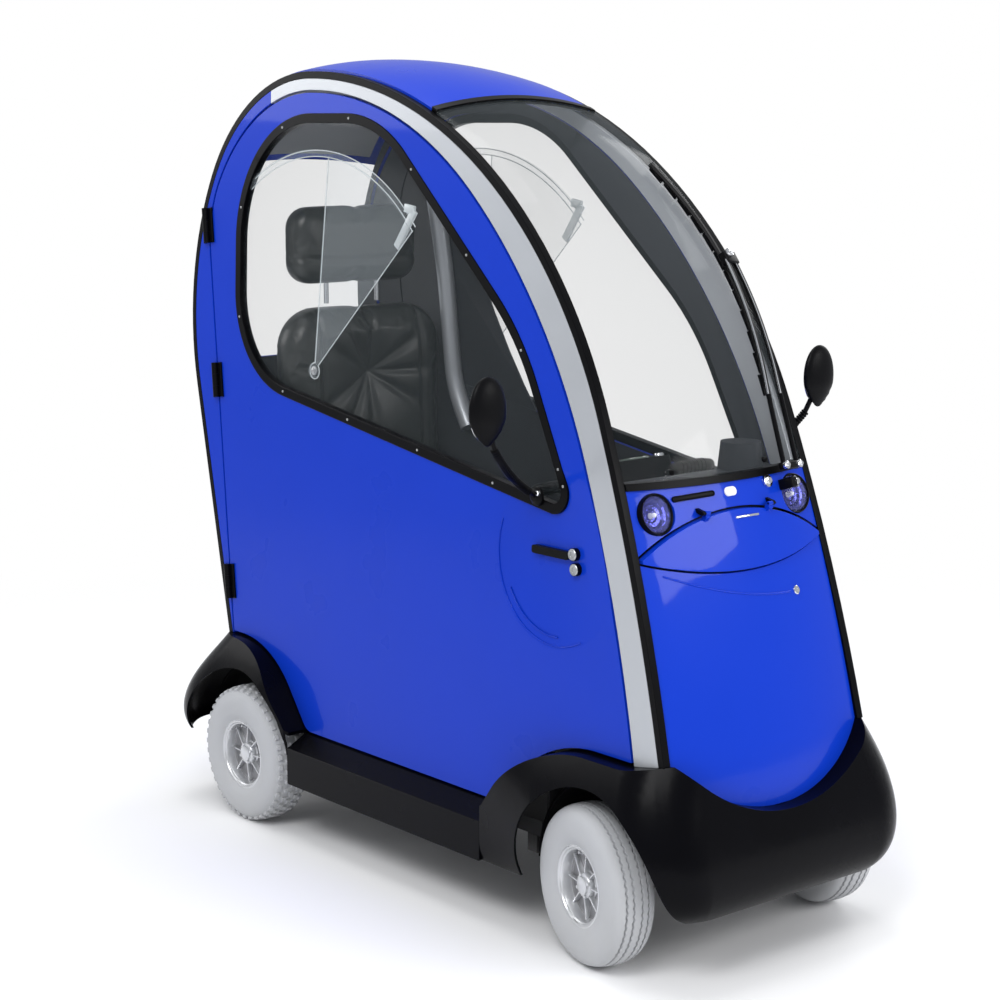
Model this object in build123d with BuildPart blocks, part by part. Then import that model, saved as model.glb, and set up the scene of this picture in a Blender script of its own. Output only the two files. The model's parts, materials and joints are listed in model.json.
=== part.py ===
from build123d import *
import os
from math import atan, cos, degrees, radians, sin

# Enclosed four-wheel mobility scooter, parked with its front wheels turned a little to the
# driver's right. Sizes are in millimetres. The front looks along -Y, +X is the vehicle's left,
# and the wheels stand on Z = 0.
os.makedirs("parts", exist_ok=True)

# Wheels and steering
wheelbase = 1240
rear_axle_y = 574
front_axle_y = rear_axle_y - wheelbase
tyre_radius = 165
tyre_width = 100
wheel_centre_x = 310
kingpin_x = 235
steer_rest_angle = -12
hub_z = tyre_radius
rear_arch_setback = 14
rear_arch_y = rear_axle_y + rear_arch_setback

# Cab corner line in side view: tangent arcs away from the highest point of the roof
apex_y = 410
apex_z = 1782
# radius, turn in degrees
corner_front_rows = [(1104, 68), (4324, 9), (500, 14)]
corner_rear_rows = [(450, 62), (700, 42.5)]
tail_length = 630
belt_half_width = 290
belt_z = 446
side_lean_share = 0.0355
roof_crown = 34
crown_half_width = 262

# Door outline in side view: tangent arcs away from its highest point
door_top_y = 400
door_top_z = 1738
door_front_rows = [(905, 40), (1331, 28), (3195, 12)]
door_rear_rows = [(440, 58), (260, 39.4)]
door_thickness = 24
door_gap = 6
frame_depth = 30
panel_thickness = 8
glass_thickness = 4
seal_width = 18
seal_depth = 12
seal_proud = 4

# Lower mouldings: the line where the cab meets the black fenders and sills, y, z and fillet radius
fender_rows = [
    (-1000, 474, 0),
    (-740, 424, 200),
    (-474, 424, 330),
    (-328, 250, 40),
    (378, 250, 40),
    (530, 436, 260),
    (1000, 436, 0),
]
front_seam_y = -330
rear_seam_y = 384
arch_radius = 208
moulding_wall = 6
flange_inner_x = 262
sill_outer_x = 350
floor_underside_z = 204
deck_underside_z = 379
sheet = 8
reach = 1200
overrun = 20

steer_cos = cos(radians(steer_rest_angle))
steer_sin = sin(radians(steer_rest_angle))


def half_width(z):
    """Half of the cab's width over its leaning sides at height z."""
    return belt_half_width - side_lean_share * (z - belt_z)


def arc_run(start, heading, rows, bend):
    """Tangent arcs from start along heading; bend 1 turns left and -1 turns right."""
    point = Vector(*start)
    direction = Vector(*heading, 0)
    for radius, turn in rows:
        arc = JernArc(point, direction, radius, bend * turn)
        point = arc @ 1
        direction = arc % 1
    return point, direction


def grown(rows, growth):
    """The same arcs drawn further out by growth."""
    return [(radius + growth, turn) for radius, turn in rows]


def cab_outline(growth):
    """Face of the cab in side view, its corner line moved outward by growth."""
    with BuildLine() as outline:
        start = (apex_y, apex_z + growth)
        front_end, _ = arc_run(start, (-1, 0), grown(corner_front_rows, growth), 1)
        rear_end, heading = arc_run(start, (1, 0), grown(corner_rear_rows, growth), -1)
        tail = Line(rear_end, rear_end + heading * tail_length)
        Polyline(tail @ 1, ((tail @ 1).X, 0), (front_end.X, 0), front_end)
    make_face(outline.edges())


def door_outline(growth):
    """Face of a door in side view, down past the fender line, its edges moved out by growth."""
    with BuildLine() as outline:
        start = (door_top_y, door_top_z + growth)
        front_end, _ = arc_run(start, (-1, 0), grown(door_front_rows, growth), 1)
        rear_end, heading = arc_run(start, (1, 0), grown(door_rear_rows, growth), -1)
        tail = Line(rear_end, rear_end + heading * reach)
        front_tail = Line(front_end, (front_end.X, (tail @ 1).Y))
        Line(tail @ 1, front_tail @ 1)
    make_face(outline.edges())


def above_fender_line(lift):
    """Face in side view of all that lies over the fender line lifted by lift."""
    points = [(y, z + lift) for y, z, radius in fender_rows]
    with BuildLine() as outline:
        line = FilletPolyline(*points, radius=[radius for y, z, radius in fender_rows[1:-1]])
        top = apex_z + reach
        Polyline(line @ 1, (points[-1][0], top), (points[0][0], top), line @ 0)
    make_face(outline.edges())


def side_slab(outer, inner):
    """Keeps what lies between two depths under the left side's leaning face."""
    top = apex_z + reach
    with BuildSketch(Plane.XZ) as slab:
        with BuildLine():
            Polyline(
                (half_width(0) - outer, 0),
                (half_width(top) - outer, top),
                (half_width(top) - inner, top),
                (half_width(0) - inner, 0),
                close=True,
            )
        make_face()
    extrude(slab.sketch, amount=reach, both=True, mode=Mode.INTERSECT)


def between_sides(margin):
    """Keeps what lies between the two leaning sides, margin short of each."""
    top = apex_z + reach
    low = half_width(0) - margin
    high = half_width(top) - margin
    with BuildSketch(Plane.XZ) as wedge:
        with BuildLine():
            Polyline((low, 0), (high, top), (-high, top), (-low, 0), close=True)
        make_face()
    extrude(wedge.sketch, amount=reach, both=True, mode=Mode.INTERSECT)


def crowned_section(plane, outset, thickness):
    """Cross-section of a crowned shell on a plane that looks along the corner line."""
    half = belt_half_width
    crown = roof_crown * (half / crown_half_width) ** 2
    drop = crown - roof_crown
    with BuildSketch(plane) as section:
        with BuildLine():
            outer = ThreePointArc((-half, outset - drop), (0, outset + roof_crown), (half, outset - drop))
            low = outset - thickness
            inner = ThreePointArc((-half, low - drop), (0, low + roof_crown), (half, low - drop))
            Line(outer @ 0, inner @ 0)
            Line(outer @ 1, inner @ 1)
        make_face()
    return section.sketch


def crowned_shell(outset, thickness):
    """Revolves the crowned section round each arc of the corner line and runs it down the tail."""
    for rows, way in ((corner_front_rows, -1), (corner_rear_rows, 1)):
        point = Vector(0, apex_y, apex_z)
        turned = 0
        for radius, turn in rows:
            heading = Vector(0, way * cos(radians(turned)), -sin(radians(turned)))
            outward = Vector(0, way * sin(radians(turned)), cos(radians(turned)))
            centre = point - outward * radius
            section = crowned_section(Plane(point, x_dir=(-way, 0, 0), z_dir=heading), outset, thickness)
            revolve(section, axis=Axis(centre, (-way, 0, 0)), revolution_arc=turn)
            turned = turned + turn
            outward = Vector(0, way * sin(radians(turned)), cos(radians(turned)))
            point = centre + outward * radius
        heading = Vector(0, way * cos(radians(turned)), -sin(radians(turned)))
    section = crowned_section(Plane(point, x_dir=(-way, 0, 0), z_dir=heading), outset, thickness)
    extrude(section, amount=tail_length)


def finish(piece, name):
    """Labels a finished piece and writes it."""
    piece.part.label = name
    export_step(piece.part, f"parts/{name}.step")


# Shells of one crowned form, from which the front, roof and rear panels are cut
with BuildPart() as panel_stock:
    crowned_shell(0, panel_thickness)
with BuildPart() as glass_stock:
    crowned_shell(0, glass_thickness)
with BuildPart() as trim_stock:
    crowned_shell(seal_proud, panel_thickness + seal_proud)
lid_proud = 6
with BuildPart() as lid_stock:
    crowned_shell(lid_proud, panel_thickness + lid_proud)

# Panel joints: points on the corner line, seen from a point inside the cab
cab_middle = (120, 1000)
rear_foot = (640, 300)
rear_screen_low = (872, 1080)
rear_screen_high = (792, 1560)
roof_front = (-26, 1706)
screen_top = (-42, 1700)
screen_base = (-668, 974)
cowl_top = (-674, 960)
nose_foot = (-760, 200)


def between_joints(first, second):
    """Keeps the wedge that opens from the middle of the cab between two panel joints."""
    middle = Vector(*cab_middle)
    rays = [(Vector(*point) - middle).normalized() for point in (first, second)]
    bisector = (rays[0] + rays[1]).normalized()
    corners = [middle + ray * 2 * reach for ray in (rays[0], bisector, rays[1])]
    with BuildSketch(Plane.YZ) as wedge:
        with BuildLine():
            Polyline(middle, *corners, close=True)
        make_face()
    extrude(wedge.sketch, amount=reach, both=True, mode=Mode.INTERSECT)


# name, stock, first joint, second joint
canopy_rows = [
    ("rear_wall", panel_stock, rear_foot, rear_screen_low),
    ("rear_window", glass_stock, rear_screen_low, rear_screen_high),
    ("roof_panel", panel_stock, rear_screen_high, roof_front),
    ("windscreen", glass_stock, screen_top, screen_base),
    ("cowl_panel", panel_stock, cowl_top, nose_foot),
]
canopy = {}
for name, stock, first, second in canopy_rows:
    with BuildPart() as panel:
        add(stock.part)
        between_joints(first, second)
        between_sides(seal_width)
    canopy[name] = panel
for name in ("rear_window", "roof_panel", "windscreen"):
    finish(canopy[name], name)

# Windscreen seal: the dark strips across its top and its foot
with BuildPart() as seal_top:
    add(trim_stock.part)
    between_joints(roof_front, screen_top)
    between_sides(seal_width)
with BuildPart() as screen_seal:
    add(trim_stock.part)
    between_joints(screen_base, cowl_top)
    between_sides(seal_width)
    add(seal_top.part)
finish(screen_seal, "screen_seal")

# Front: the nose, the domed lid in it and the cowl over it
lid_corner_x = 275
lid_corner_z = 824
lid_top_z = 909
lid_crease_z = 783
nose_side_z = 445
nose_centre_z = 322
lid_gap = 5
headlamp_radius = 43
headlamp_x = 198
headlamp_z = 911
headlamp_y = -695
headlamp_tilt = 18
headlamp_depth = 26
lamp_gap = 0.3
foot_gap = 0.3


def lid_lens(shrink):
    """Face of the lid seen from the front: two arcs that meet at the cab's corners."""
    corner_x = lid_corner_x - 3 * shrink
    with BuildLine() as outline:
        for height in (lid_top_z - shrink, lid_crease_z + shrink):
            ThreePointArc((-corner_x, lid_corner_z), (0, height), (corner_x, lid_corner_z))
    make_face(outline.edges())


def over_nose_foot(lift):
    """Face seen from the front of all that lies over the nose's foot, which is moved by lift."""
    side_z = nose_side_z + lift
    with BuildLine() as outline:
        foot = ThreePointArc((-lid_corner_x, side_z), (0, nose_centre_z + lift), (lid_corner_x, side_z))
        Polyline(foot @ 1, (lid_corner_x, apex_z), (-lid_corner_x, apex_z), foot @ 0)
    make_face(outline.edges())


headlamp_axis = Vector(0, -cos(radians(headlamp_tilt)), sin(radians(headlamp_tilt)))
headlamp_planes = [
    Plane((way * headlamp_x, headlamp_y, headlamp_z), x_dir=(1, 0, 0), z_dir=headlamp_axis)
    for way in (-1, 1)
]

with BuildPart() as nose_front:
    add(canopy["cowl_panel"].part)
    with BuildSketch(Plane.XZ.offset(-cab_middle[0])):
        lid_lens(0)
    extrude(amount=reach, mode=Mode.SUBTRACT)
    for plane in headlamp_planes:
        with BuildSketch(plane):
            Circle(headlamp_radius)
        extrude(amount=headlamp_depth * 2, both=True, mode=Mode.SUBTRACT)
    with BuildSketch(Plane.XZ.offset(-cab_middle[0])):
        over_nose_foot(0)
    extrude(amount=reach, mode=Mode.INTERSECT)

with BuildPart() as nose_panel:
    add(nose_front.part)
    split(bisect_by=Plane.XY.offset(lid_corner_z), keep=Keep.BOTTOM)
with BuildPart() as cowl_panel:
    add(nose_front.part)
    split(bisect_by=Plane.XY.offset(lid_corner_z), keep=Keep.TOP)
finish(nose_panel, "nose_panel")
finish(cowl_panel, "cowl_panel")

# Lid hinge: an axis just outside the skin at the top of the lid
lid_hinge_y = -731
lid_hinge_z = 907
lid_pin_radius = 2
lid_barrel_radius = 4.5
lid_hinge_x = 90
lid_barrel_length = 12
pin_gap = 0.3

with BuildPart() as lid_skin:
    add(lid_stock.part)
    with BuildSketch(Plane.XZ.offset(-cab_middle[0])):
        lid_lens(lid_gap)
    extrude(amount=reach, mode=Mode.INTERSECT)
    between_sides(seal_width + lid_gap)
with BuildPart() as nose_lid:
    add(lid_skin.part)
    for way in (-1, 1):
        with BuildSketch(Plane.YZ.offset(way * lid_hinge_x)):
            with Locations((lid_hinge_y, lid_hinge_z)):
                Circle(lid_barrel_radius)
            with BuildLine():
                Polyline(
                    (lid_hinge_y, lid_hinge_z),
                    (lid_hinge_y + lid_barrel_radius * 2, lid_hinge_z - lid_barrel_radius),
                    (lid_hinge_y + lid_barrel_radius * 2, lid_hinge_z - lid_barrel_radius * 5),
                    (lid_hinge_y - lid_barrel_radius, lid_hinge_z - lid_barrel_radius * 2),
                    close=True,
                )
            make_face()
        extrude(amount=lid_barrel_length / 2, both=True)
    with BuildSketch(Plane.YZ):
        with Locations((lid_hinge_y, lid_hinge_z)):
            Circle(lid_pin_radius + pin_gap)
    extrude(amount=lid_hinge_x * 2, both=True, mode=Mode.SUBTRACT)
finish(nose_lid, "nose_lid")

# Hinge pins of the lid, each carried by a lug on the cowl beside the lid's barrel
lid_lug_width = 8
with BuildPart() as lid_hinges:
    for way in (-1, 1):
        lug_x = way * (lid_hinge_x + lid_barrel_length / 2 + lid_lug_width / 2 + pin_gap)
        with BuildSketch(Plane.YZ.offset(lug_x)):
            with BuildLine():
                Polyline(
                    (lid_hinge_y - lid_barrel_radius, lid_hinge_z),
                    (lid_hinge_y, lid_hinge_z + lid_barrel_radius),
                    (lid_hinge_y + lid_barrel_radius * 5, lid_hinge_z + lid_barrel_radius * 2),
                    (lid_hinge_y + lid_barrel_radius * 4, lid_hinge_z),
                    (lid_hinge_y, lid_hinge_z - lid_barrel_radius),
                    close=True,
                )
            make_face()
        extrude(amount=lid_lug_width / 2, both=True)
        pin_x = way * (lid_hinge_x - lid_barrel_length / 2)
        with BuildSketch(Plane.YZ.offset(pin_x)):
            with Locations((lid_hinge_y, lid_hinge_z)):
                Circle(lid_pin_radius)
        extrude(amount=way * (lid_barrel_length + lid_lug_width))
    add(cowl_panel.part, mode=Mode.SUBTRACT)
finish(lid_hinges, "lid_hinges")

# Headlamps: round units with a domed lens, let into the cowl
lens_rounding = 6
with BuildPart() as headlamps:
    for plane in headlamp_planes:
        with BuildSketch(plane.offset(-headlamp_depth + panel_thickness)):
            Circle(headlamp_radius - lamp_gap)
        extrude(amount=headlamp_depth)
    fillet(headlamps.faces().sort_by(Axis((0, 0, 0), headlamp_axis))[-2:].edges(), lens_rounding)
finish(headlamps, "headlamps")

# Rear wall with its two round tail lamps
tail_lamp_radius = 38
tail_lamp_x = 196
tail_lamp_z = 760
tail_lamp_y = 826
tail_lamp_tilt = 14.5
tail_axis = Vector(0, cos(radians(tail_lamp_tilt)), -sin(radians(tail_lamp_tilt)))
tail_planes = [
    Plane((way * tail_lamp_x, tail_lamp_y, tail_lamp_z), x_dir=(1, 0, 0), z_dir=tail_axis)
    for way in (-1, 1)
]
rear_wall_foot_z = 437
with BuildPart() as rear_wall:
    add(canopy["rear_wall"].part)
    split(bisect_by=Plane.XY.offset(rear_wall_foot_z), keep=Keep.TOP)
    for plane in tail_planes:
        with BuildSketch(plane):
            Circle(tail_lamp_radius)
        extrude(amount=headlamp_depth * 2, both=True, mode=Mode.SUBTRACT)
finish(rear_wall, "rear_wall")
with BuildPart() as tail_lamps:
    for plane in tail_planes:
        with BuildSketch(plane.offset(-headlamp_depth / 2)):
            Circle(tail_lamp_radius - lamp_gap)
        extrude(amount=headlamp_depth)
    fillet(tail_lamps.faces().sort_by(Axis((0, 0, 0), tail_axis))[-2:].edges(), lens_rounding)
finish(tail_lamps, "tail_lamps")

# Side frame: one ring round each door, split into the bright front arch and the rear quarter
arch_rear_y = 560
with BuildPart() as ring_left:
    with BuildSketch(Plane.YZ):
        cab_outline(-seal_depth)
    extrude(amount=reach)
    with BuildSketch(Plane.YZ):
        door_outline(door_gap)
    extrude(amount=reach, mode=Mode.SUBTRACT)
    with BuildSketch(Plane.YZ):
        above_fender_line(0)
    extrude(amount=reach, mode=Mode.INTERSECT)
    side_slab(0, frame_depth)
with BuildPart() as side_arches:
    add(ring_left.part)
    split(bisect_by=Plane.XZ.offset(-arch_rear_y), keep=Keep.TOP)
    mirror(about=Plane.YZ)
with BuildPart() as rear_quarters:
    add(ring_left.part)
    split(bisect_by=Plane.XZ.offset(-arch_rear_y), keep=Keep.BOTTOM)
    mirror(about=Plane.YZ)
finish(side_arches, "side_arches")
finish(rear_quarters, "rear_quarters")

# Corner seals: the dark strips between the side frames and the front, roof and rear panels
with BuildPart() as corner_seals:
    with BuildSketch(Plane.YZ):
        cab_outline(seal_proud)
    extrude(amount=reach)
    with BuildSketch(Plane.YZ):
        cab_outline(-seal_depth)
    extrude(amount=reach, mode=Mode.SUBTRACT)
    with BuildSketch(Plane.YZ):
        above_fender_line(0)
    extrude(amount=reach, mode=Mode.INTERSECT)
    side_slab(0, seal_width)
    mirror(about=Plane.YZ)
finish(corner_seals, "corner_seals")

# Doors: one thick panel each, with its window cut and a shallow round dish for the handle
window_rows = [
    (-555, 878, 45),
    (700, 1070, 240),
    (700, 1692, 300),
    (135, 1692, 330),
    (-366, 1247, 600),
]
window_rim = 22
rim_proud = 2
dish_radius = 185
dish_depth = 7
dish_y = -488
dish_z = 800


def window_outline(shrink):
    """Face of the side window, its edge moved inward by shrink."""
    with BuildLine() as outline:
        points = [(y, z) for y, z, radius in window_rows]
        FilletPolyline(*points, radius=[radius for y, z, radius in window_rows], close=True)
        if shrink > 0:
            offset(amount=-shrink, mode=Mode.REPLACE)
    make_face(outline.edges())


side_lean = degrees(atan(side_lean_share))
dish_ball = (dish_radius ** 2 + dish_depth ** 2) / (2 * dish_depth)


def side_plane(y, z):
    """A plane on the left side's outer face at y and z, looking out."""
    outward = (cos(radians(side_lean)), 0, sin(radians(side_lean)))
    return Plane((half_width(z), y, z), x_dir=(0, 1, 0), z_dir=outward)


with BuildPart() as door_left:
    with BuildSketch(Plane.YZ):
        door_outline(0)
    extrude(amount=reach)
    with BuildSketch(Plane.YZ):
        above_fender_line(door_gap)
    extrude(amount=reach, mode=Mode.INTERSECT)
    with BuildSketch(Plane.YZ):
        window_outline(0)
    extrude(amount=reach, mode=Mode.SUBTRACT)
    side_slab(0, door_thickness)
    with Locations(side_plane(dish_y, dish_z).offset(dish_ball - dish_depth)):
        Sphere(dish_ball, mode=Mode.SUBTRACT)

with BuildPart() as window_seal_left:
    with BuildSketch(Plane.YZ):
        window_outline(0)
    extrude(amount=reach)
    with BuildSketch(Plane.YZ):
        window_outline(window_rim)
    extrude(amount=reach, mode=Mode.SUBTRACT)
    side_slab(-rim_proud, seal_width)

pane_depth = 10
with BuildPart() as window_pane_left:
    with BuildSketch(Plane.YZ):
        window_outline(window_rim)
    extrude(amount=reach)
    side_slab(pane_depth, pane_depth + glass_thickness)

# Vent: a clear sector that swings on a bolt over an arc rail
vent_pivot_y = 381
vent_pivot_z = 1107
vent_radius = 488
vent_rail_width = 16
vent_boss_radius = 17
vent_front_angle = 137
vent_rear_angle = 95
rail_front_angle = 135
rail_rear_angle = 55
vent_pane_thickness = 3
vent_rail_thickness = 6


def around_vent(radius, angle):
    """A point at radius and angle, from level rearward, round the vent's bolt."""
    along = Vector(cos(radians(angle)), sin(radians(angle)))
    return Vector(vent_pivot_y, vent_pivot_z) + along * radius


with BuildPart() as vent_sector_left:
    with BuildSketch(Plane.YZ):
        with BuildLine():
            middle_angle = (vent_front_angle + vent_rear_angle) / 2
            rim = ThreePointArc(
                around_vent(vent_radius, vent_rear_angle),
                around_vent(vent_radius, middle_angle),
                around_vent(vent_radius, vent_front_angle),
            )
            Polyline(
                rim @ 1,
                around_vent(vent_boss_radius, vent_front_angle),
                around_vent(vent_boss_radius, vent_rear_angle),
                rim @ 0,
            )
        make_face()
    extrude(amount=reach)
    with BuildSketch(Plane.YZ):
        window_outline(window_rim)
    extrude(amount=reach, mode=Mode.INTERSECT)
    side_slab(pane_depth - vent_pane_thickness, pane_depth)
with BuildPart() as vent_rail_left:
    with BuildSketch(Plane.YZ):
        with BuildLine():
            outer_radius = vent_radius + vent_rail_width
            middle_angle = (rail_front_angle + rail_rear_angle) / 2
            outer = ThreePointArc(
                around_vent(outer_radius, rail_rear_angle),
                around_vent(outer_radius, middle_angle),
                around_vent(outer_radius, rail_front_angle),
            )
            inner = ThreePointArc(
                around_vent(vent_radius, rail_rear_angle),
                around_vent(vent_radius, middle_angle),
                around_vent(vent_radius, rail_front_angle),
            )
            Line(outer @ 0, inner @ 0)
            Line(outer @ 1, inner @ 1)
        make_face()
        with Locations((vent_pivot_y, vent_pivot_z)):
            Circle(vent_boss_radius)
    extrude(amount=reach)
    with BuildSketch(Plane.YZ):
        window_outline(window_rim)
    extrude(amount=reach, mode=Mode.INTERSECT)
    side_slab(pane_depth - vent_rail_thickness, pane_depth)
with BuildPart() as vent_pane_left:
    add(vent_sector_left.part)
    add(vent_rail_left.part)

# Door hinges on one leaning axis, outside the skin at the door's rear edge
hinge_heights = (563, 1052, 1424)
first_arc, second_arc = door_rear_rows
first_turn = radians(first_arc[1])
edge_turn = radians(first_arc[1] + second_arc[1])
edge_y = door_top_y + first_arc[0] * sin(first_turn) + second_arc[0] * (sin(edge_turn) - sin(first_turn))
edge_z = door_top_z - first_arc[0] * (1 - cos(first_turn)) - second_arc[0] * (cos(first_turn) - cos(edge_turn))
hinge_slope_share = -cos(edge_turn) / sin(edge_turn)
hinge_stand = 0.3
barrel_radius = 8
hinge_half_height = 42
barrel_half_height = 14
leaf_width = 13
leaf_thickness = 4
door_pin_radius = 3
door_hinge_axis = Vector(-side_lean_share, hinge_slope_share, 1).normalized()


def hinge_plane(z):
    """A plane across the left door's hinge axis at height z: x looks out and y looks back."""
    y = edge_y + hinge_slope_share * (z - edge_z) + door_gap / 2
    x = half_width(z) + (barrel_radius + hinge_stand) / cos(radians(side_lean))
    outward = Vector(cos(radians(side_lean)), 0, sin(radians(side_lean)))
    along = door_hinge_axis
    square_out = (outward - along * outward.dot(along)).normalized()
    return Plane((x, y, z), x_dir=square_out, z_dir=along)


hinge_planes = [hinge_plane(z) for z in hinge_heights]
leaf_centre_x = -barrel_radius - hinge_stand + leaf_thickness / 2
with BuildPart() as hinge_leaves:
    for plane in hinge_planes:
        with BuildSketch(plane.offset(-hinge_half_height)):
            with Locations((leaf_centre_x, barrel_radius + leaf_width / 2)):
                Rectangle(leaf_thickness, leaf_width)
        extrude(amount=2 * hinge_half_height)
        for low in (-hinge_half_height, barrel_half_height + pin_gap):
            with BuildSketch(plane.offset(low)):
                Circle(barrel_radius)
                with Locations((leaf_centre_x, barrel_radius)):
                    Rectangle(leaf_thickness, 2 * barrel_radius)
            extrude(amount=hinge_half_height - barrel_half_height - pin_gap)
        with BuildSketch(plane.offset(-hinge_half_height)):
            Circle(door_pin_radius)
        extrude(amount=2 * hinge_half_height)
    mirror(about=Plane.YZ)
finish(hinge_leaves, "hinge_leaves")

# Door fittings: the hinges' door halves, the pull handle in its dish and two lock buttons
pull_length = 112
pull_height = 17
pull_proud = 6
button_radius = 13
button_proud = 5
button_rows = [(-543, 818), (-549, 788)]
with BuildPart() as door_fittings_left:
    for plane in hinge_planes:
        with BuildSketch(plane.offset(-hinge_half_height)):
            with Locations((leaf_centre_x, -barrel_radius - leaf_width / 2)):
                Rectangle(leaf_thickness, leaf_width)
        extrude(amount=2 * hinge_half_height)
        with BuildSketch(plane.offset(-barrel_half_height)):
            Circle(barrel_radius)
            with Locations((leaf_centre_x, -barrel_radius)):
                Rectangle(leaf_thickness, 2 * barrel_radius)
        extrude(amount=2 * barrel_half_height)
        with BuildSketch(plane.offset(-hinge_half_height)):
            Circle(door_pin_radius + pin_gap)
        extrude(amount=2 * hinge_half_height, mode=Mode.SUBTRACT)
    with BuildSketch(side_plane(dish_y + button_radius, dish_z + button_radius).offset(pull_proud)):
        RectangleRounded(pull_length, pull_height, pull_height / 3)
    extrude(amount=-pull_proud - dish_depth)
    for y, z in button_rows:
        with BuildSketch(side_plane(y, z).offset(button_proud)):
            Circle(button_radius)
        extrude(amount=-button_proud - dish_depth)
    add(door_left.part, mode=Mode.SUBTRACT)

# Mirrors on stalks from the window's lower front corner
mirror_foot_y = -431
mirror_foot_z = 922
mirror_foot_radius = 20
stalk_radius = 8
stalk_points = [(300, -436, 935), (400, -480, 985), (455, -500, 1058)]
mirror_centre = (476, -510, 1122)
mirror_half_height = 70
mirror_half_width = 46
mirror_depth = 26
with BuildPart() as mirror_left:
    foot_plane = side_plane(mirror_foot_y, mirror_foot_z).offset(rim_proud)
    with BuildSketch(foot_plane):
        Circle(mirror_foot_radius)
    extrude(amount=mirror_foot_radius / 2)
    bends = [foot_plane.origin + foot_plane.z_dir * mirror_foot_radius / 4]
    bends = bends + [Vector(*point) for point in stalk_points] + [Vector(*mirror_centre)]
    for first, second in zip(bends, bends[1:]):
        with BuildSketch(Plane(first, z_dir=second - first)):
            Circle(stalk_radius)
        extrude(amount=(second - first).length)
    for bend in bends[1:-1]:
        with Locations(bend):
            Sphere(stalk_radius)
    head_middle = Plane(mirror_centre, x_dir=(1, 0, 0), z_dir=(0, -1, 0))
    with BuildSketch(head_middle.offset(-mirror_depth / 2)):
        Ellipse(mirror_half_width, mirror_half_height)
    extrude(amount=mirror_depth)
    fillet(mirror_left.faces().sort_by(Axis.Y)[0].edges(), mirror_depth / 3)

door_nodes = [
    (door_left, "door"),
    (window_seal_left, "window_seal"),
    (window_pane_left, "window_pane"),
    (vent_pane_left, "vent_pane"),
    (door_fittings_left, "door_fittings"),
    (mirror_left, "mirror"),
]
for piece, name in door_nodes:
    finish(piece, f"{name}_left")
    with BuildPart() as right_piece:
        mirror(piece.part, about=Plane.YZ)
    finish(right_piece, f"{name}_right")

# Lower mouldings: lofted through level sections of lines and arcs, then hollowed
front_flare_y = -520
rear_flare_y = 500
# z, half width, y of the foremost or rearmost edge
front_moulding_rows = [
    (137, 343, -892),
    (205, 372, -922),
    (300, 376, -906),
    (375, 354, -884),
    (470, 296, -868),
]
rear_moulding_rows = [
    (183, 362, 884),
    (225, 376, 890),
    (300, 374, 862),
    (375, 350, 808),
    (470, 300, 746),
]
corner_run = 80
corner_span = 80
corner_radii = [110, 110]


def moulding_section(z, half, end_y, seam_y, flare_y, inset):
    """Level section of a moulding: straight sides and a rounded end at end_y."""
    way = 1 if end_y > 0 else -1
    side = half - inset
    seam_side = min(half, sill_outer_x) - inset
    end = end_y - way * inset
    shoulder = end_y - way * corner_run
    half_points = [
        (seam_side, seam_y),
        (side, flare_y),
        (side, shoulder),
        (side - corner_span, end),
    ]
    mirrored = [(-x, y) for x, y in reversed(half_points)]
    radii = [0, 0, *corner_radii]
    with BuildSketch(Plane.XY.offset(z)) as section:
        with BuildLine():
            FilletPolyline(*half_points, *mirrored, radius=radii + radii[::-1], close=True)
        make_face()
    return section.sketch


def moulding_solid(rows, seam_y, flare_y, inset, lift):
    """Loft of the level sections, kept under the fender line moved by lift."""
    with BuildPart() as piece:
        loft([moulding_section(z, half, end_y, seam_y, flare_y, inset) for z, half, end_y in rows])
        with BuildSketch(Plane.YZ):
            above_fender_line(lift)
        extrude(amount=reach, both=True, mode=Mode.SUBTRACT)
    return piece.part


def moulding(rows, seam_y, flare_y, arch_y, cavity_seam_y, cab_y):
    """A moulding with its inside, its wheel arches and the cab's place taken out."""
    with BuildPart() as cavity:
        add(moulding_solid(rows, cavity_seam_y, flare_y, moulding_wall, -sheet))
        if rows == front_moulding_rows:
            with BuildSketch(Plane.XZ.offset(-cab_middle[0])):
                over_nose_foot(-sheet)
            extrude(amount=reach, mode=Mode.SUBTRACT)
    with BuildPart() as piece:
        add(moulding_solid(rows, seam_y, flare_y, 0, 0))
        if rows == front_moulding_rows:
            with BuildSketch(Plane.XZ.offset(-cab_middle[0])):
                over_nose_foot(-foot_gap)
            extrude(amount=reach, mode=Mode.SUBTRACT)
        add(cavity.part, mode=Mode.SUBTRACT)
        with BuildSketch(Plane.XY):
            with Locations((0, (cab_y + seam_y) / 2)):
                Rectangle(2 * flange_inner_x, abs(cab_y - seam_y) + 2 * overrun)
        extrude(amount=reach, mode=Mode.SUBTRACT)
        with BuildSketch(Plane.YZ):
            with Locations((arch_y, hub_z)):
                Circle(arch_radius)
            with Locations((arch_y, 0)):
                Rectangle(2 * arch_radius, 2 * hub_z)
        extrude(amount=reach, both=True, mode=Mode.SUBTRACT)
    return piece.part


cab_rear_y = 690
cab_front_y = -780
rear_skin = moulding(
    rear_moulding_rows, rear_seam_y, rear_flare_y, rear_arch_y, rear_seam_y - overrun, cab_rear_y
)
front_skin = moulding(
    front_moulding_rows, front_seam_y, front_flare_y, front_axle_y, front_seam_y + overrun, cab_front_y
)
for skin, name in ((front_skin, "front_moulding"), (rear_skin, "rear_moulding")):
    with BuildPart() as piece:
        add(skin)
    finish(piece, name)

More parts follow.
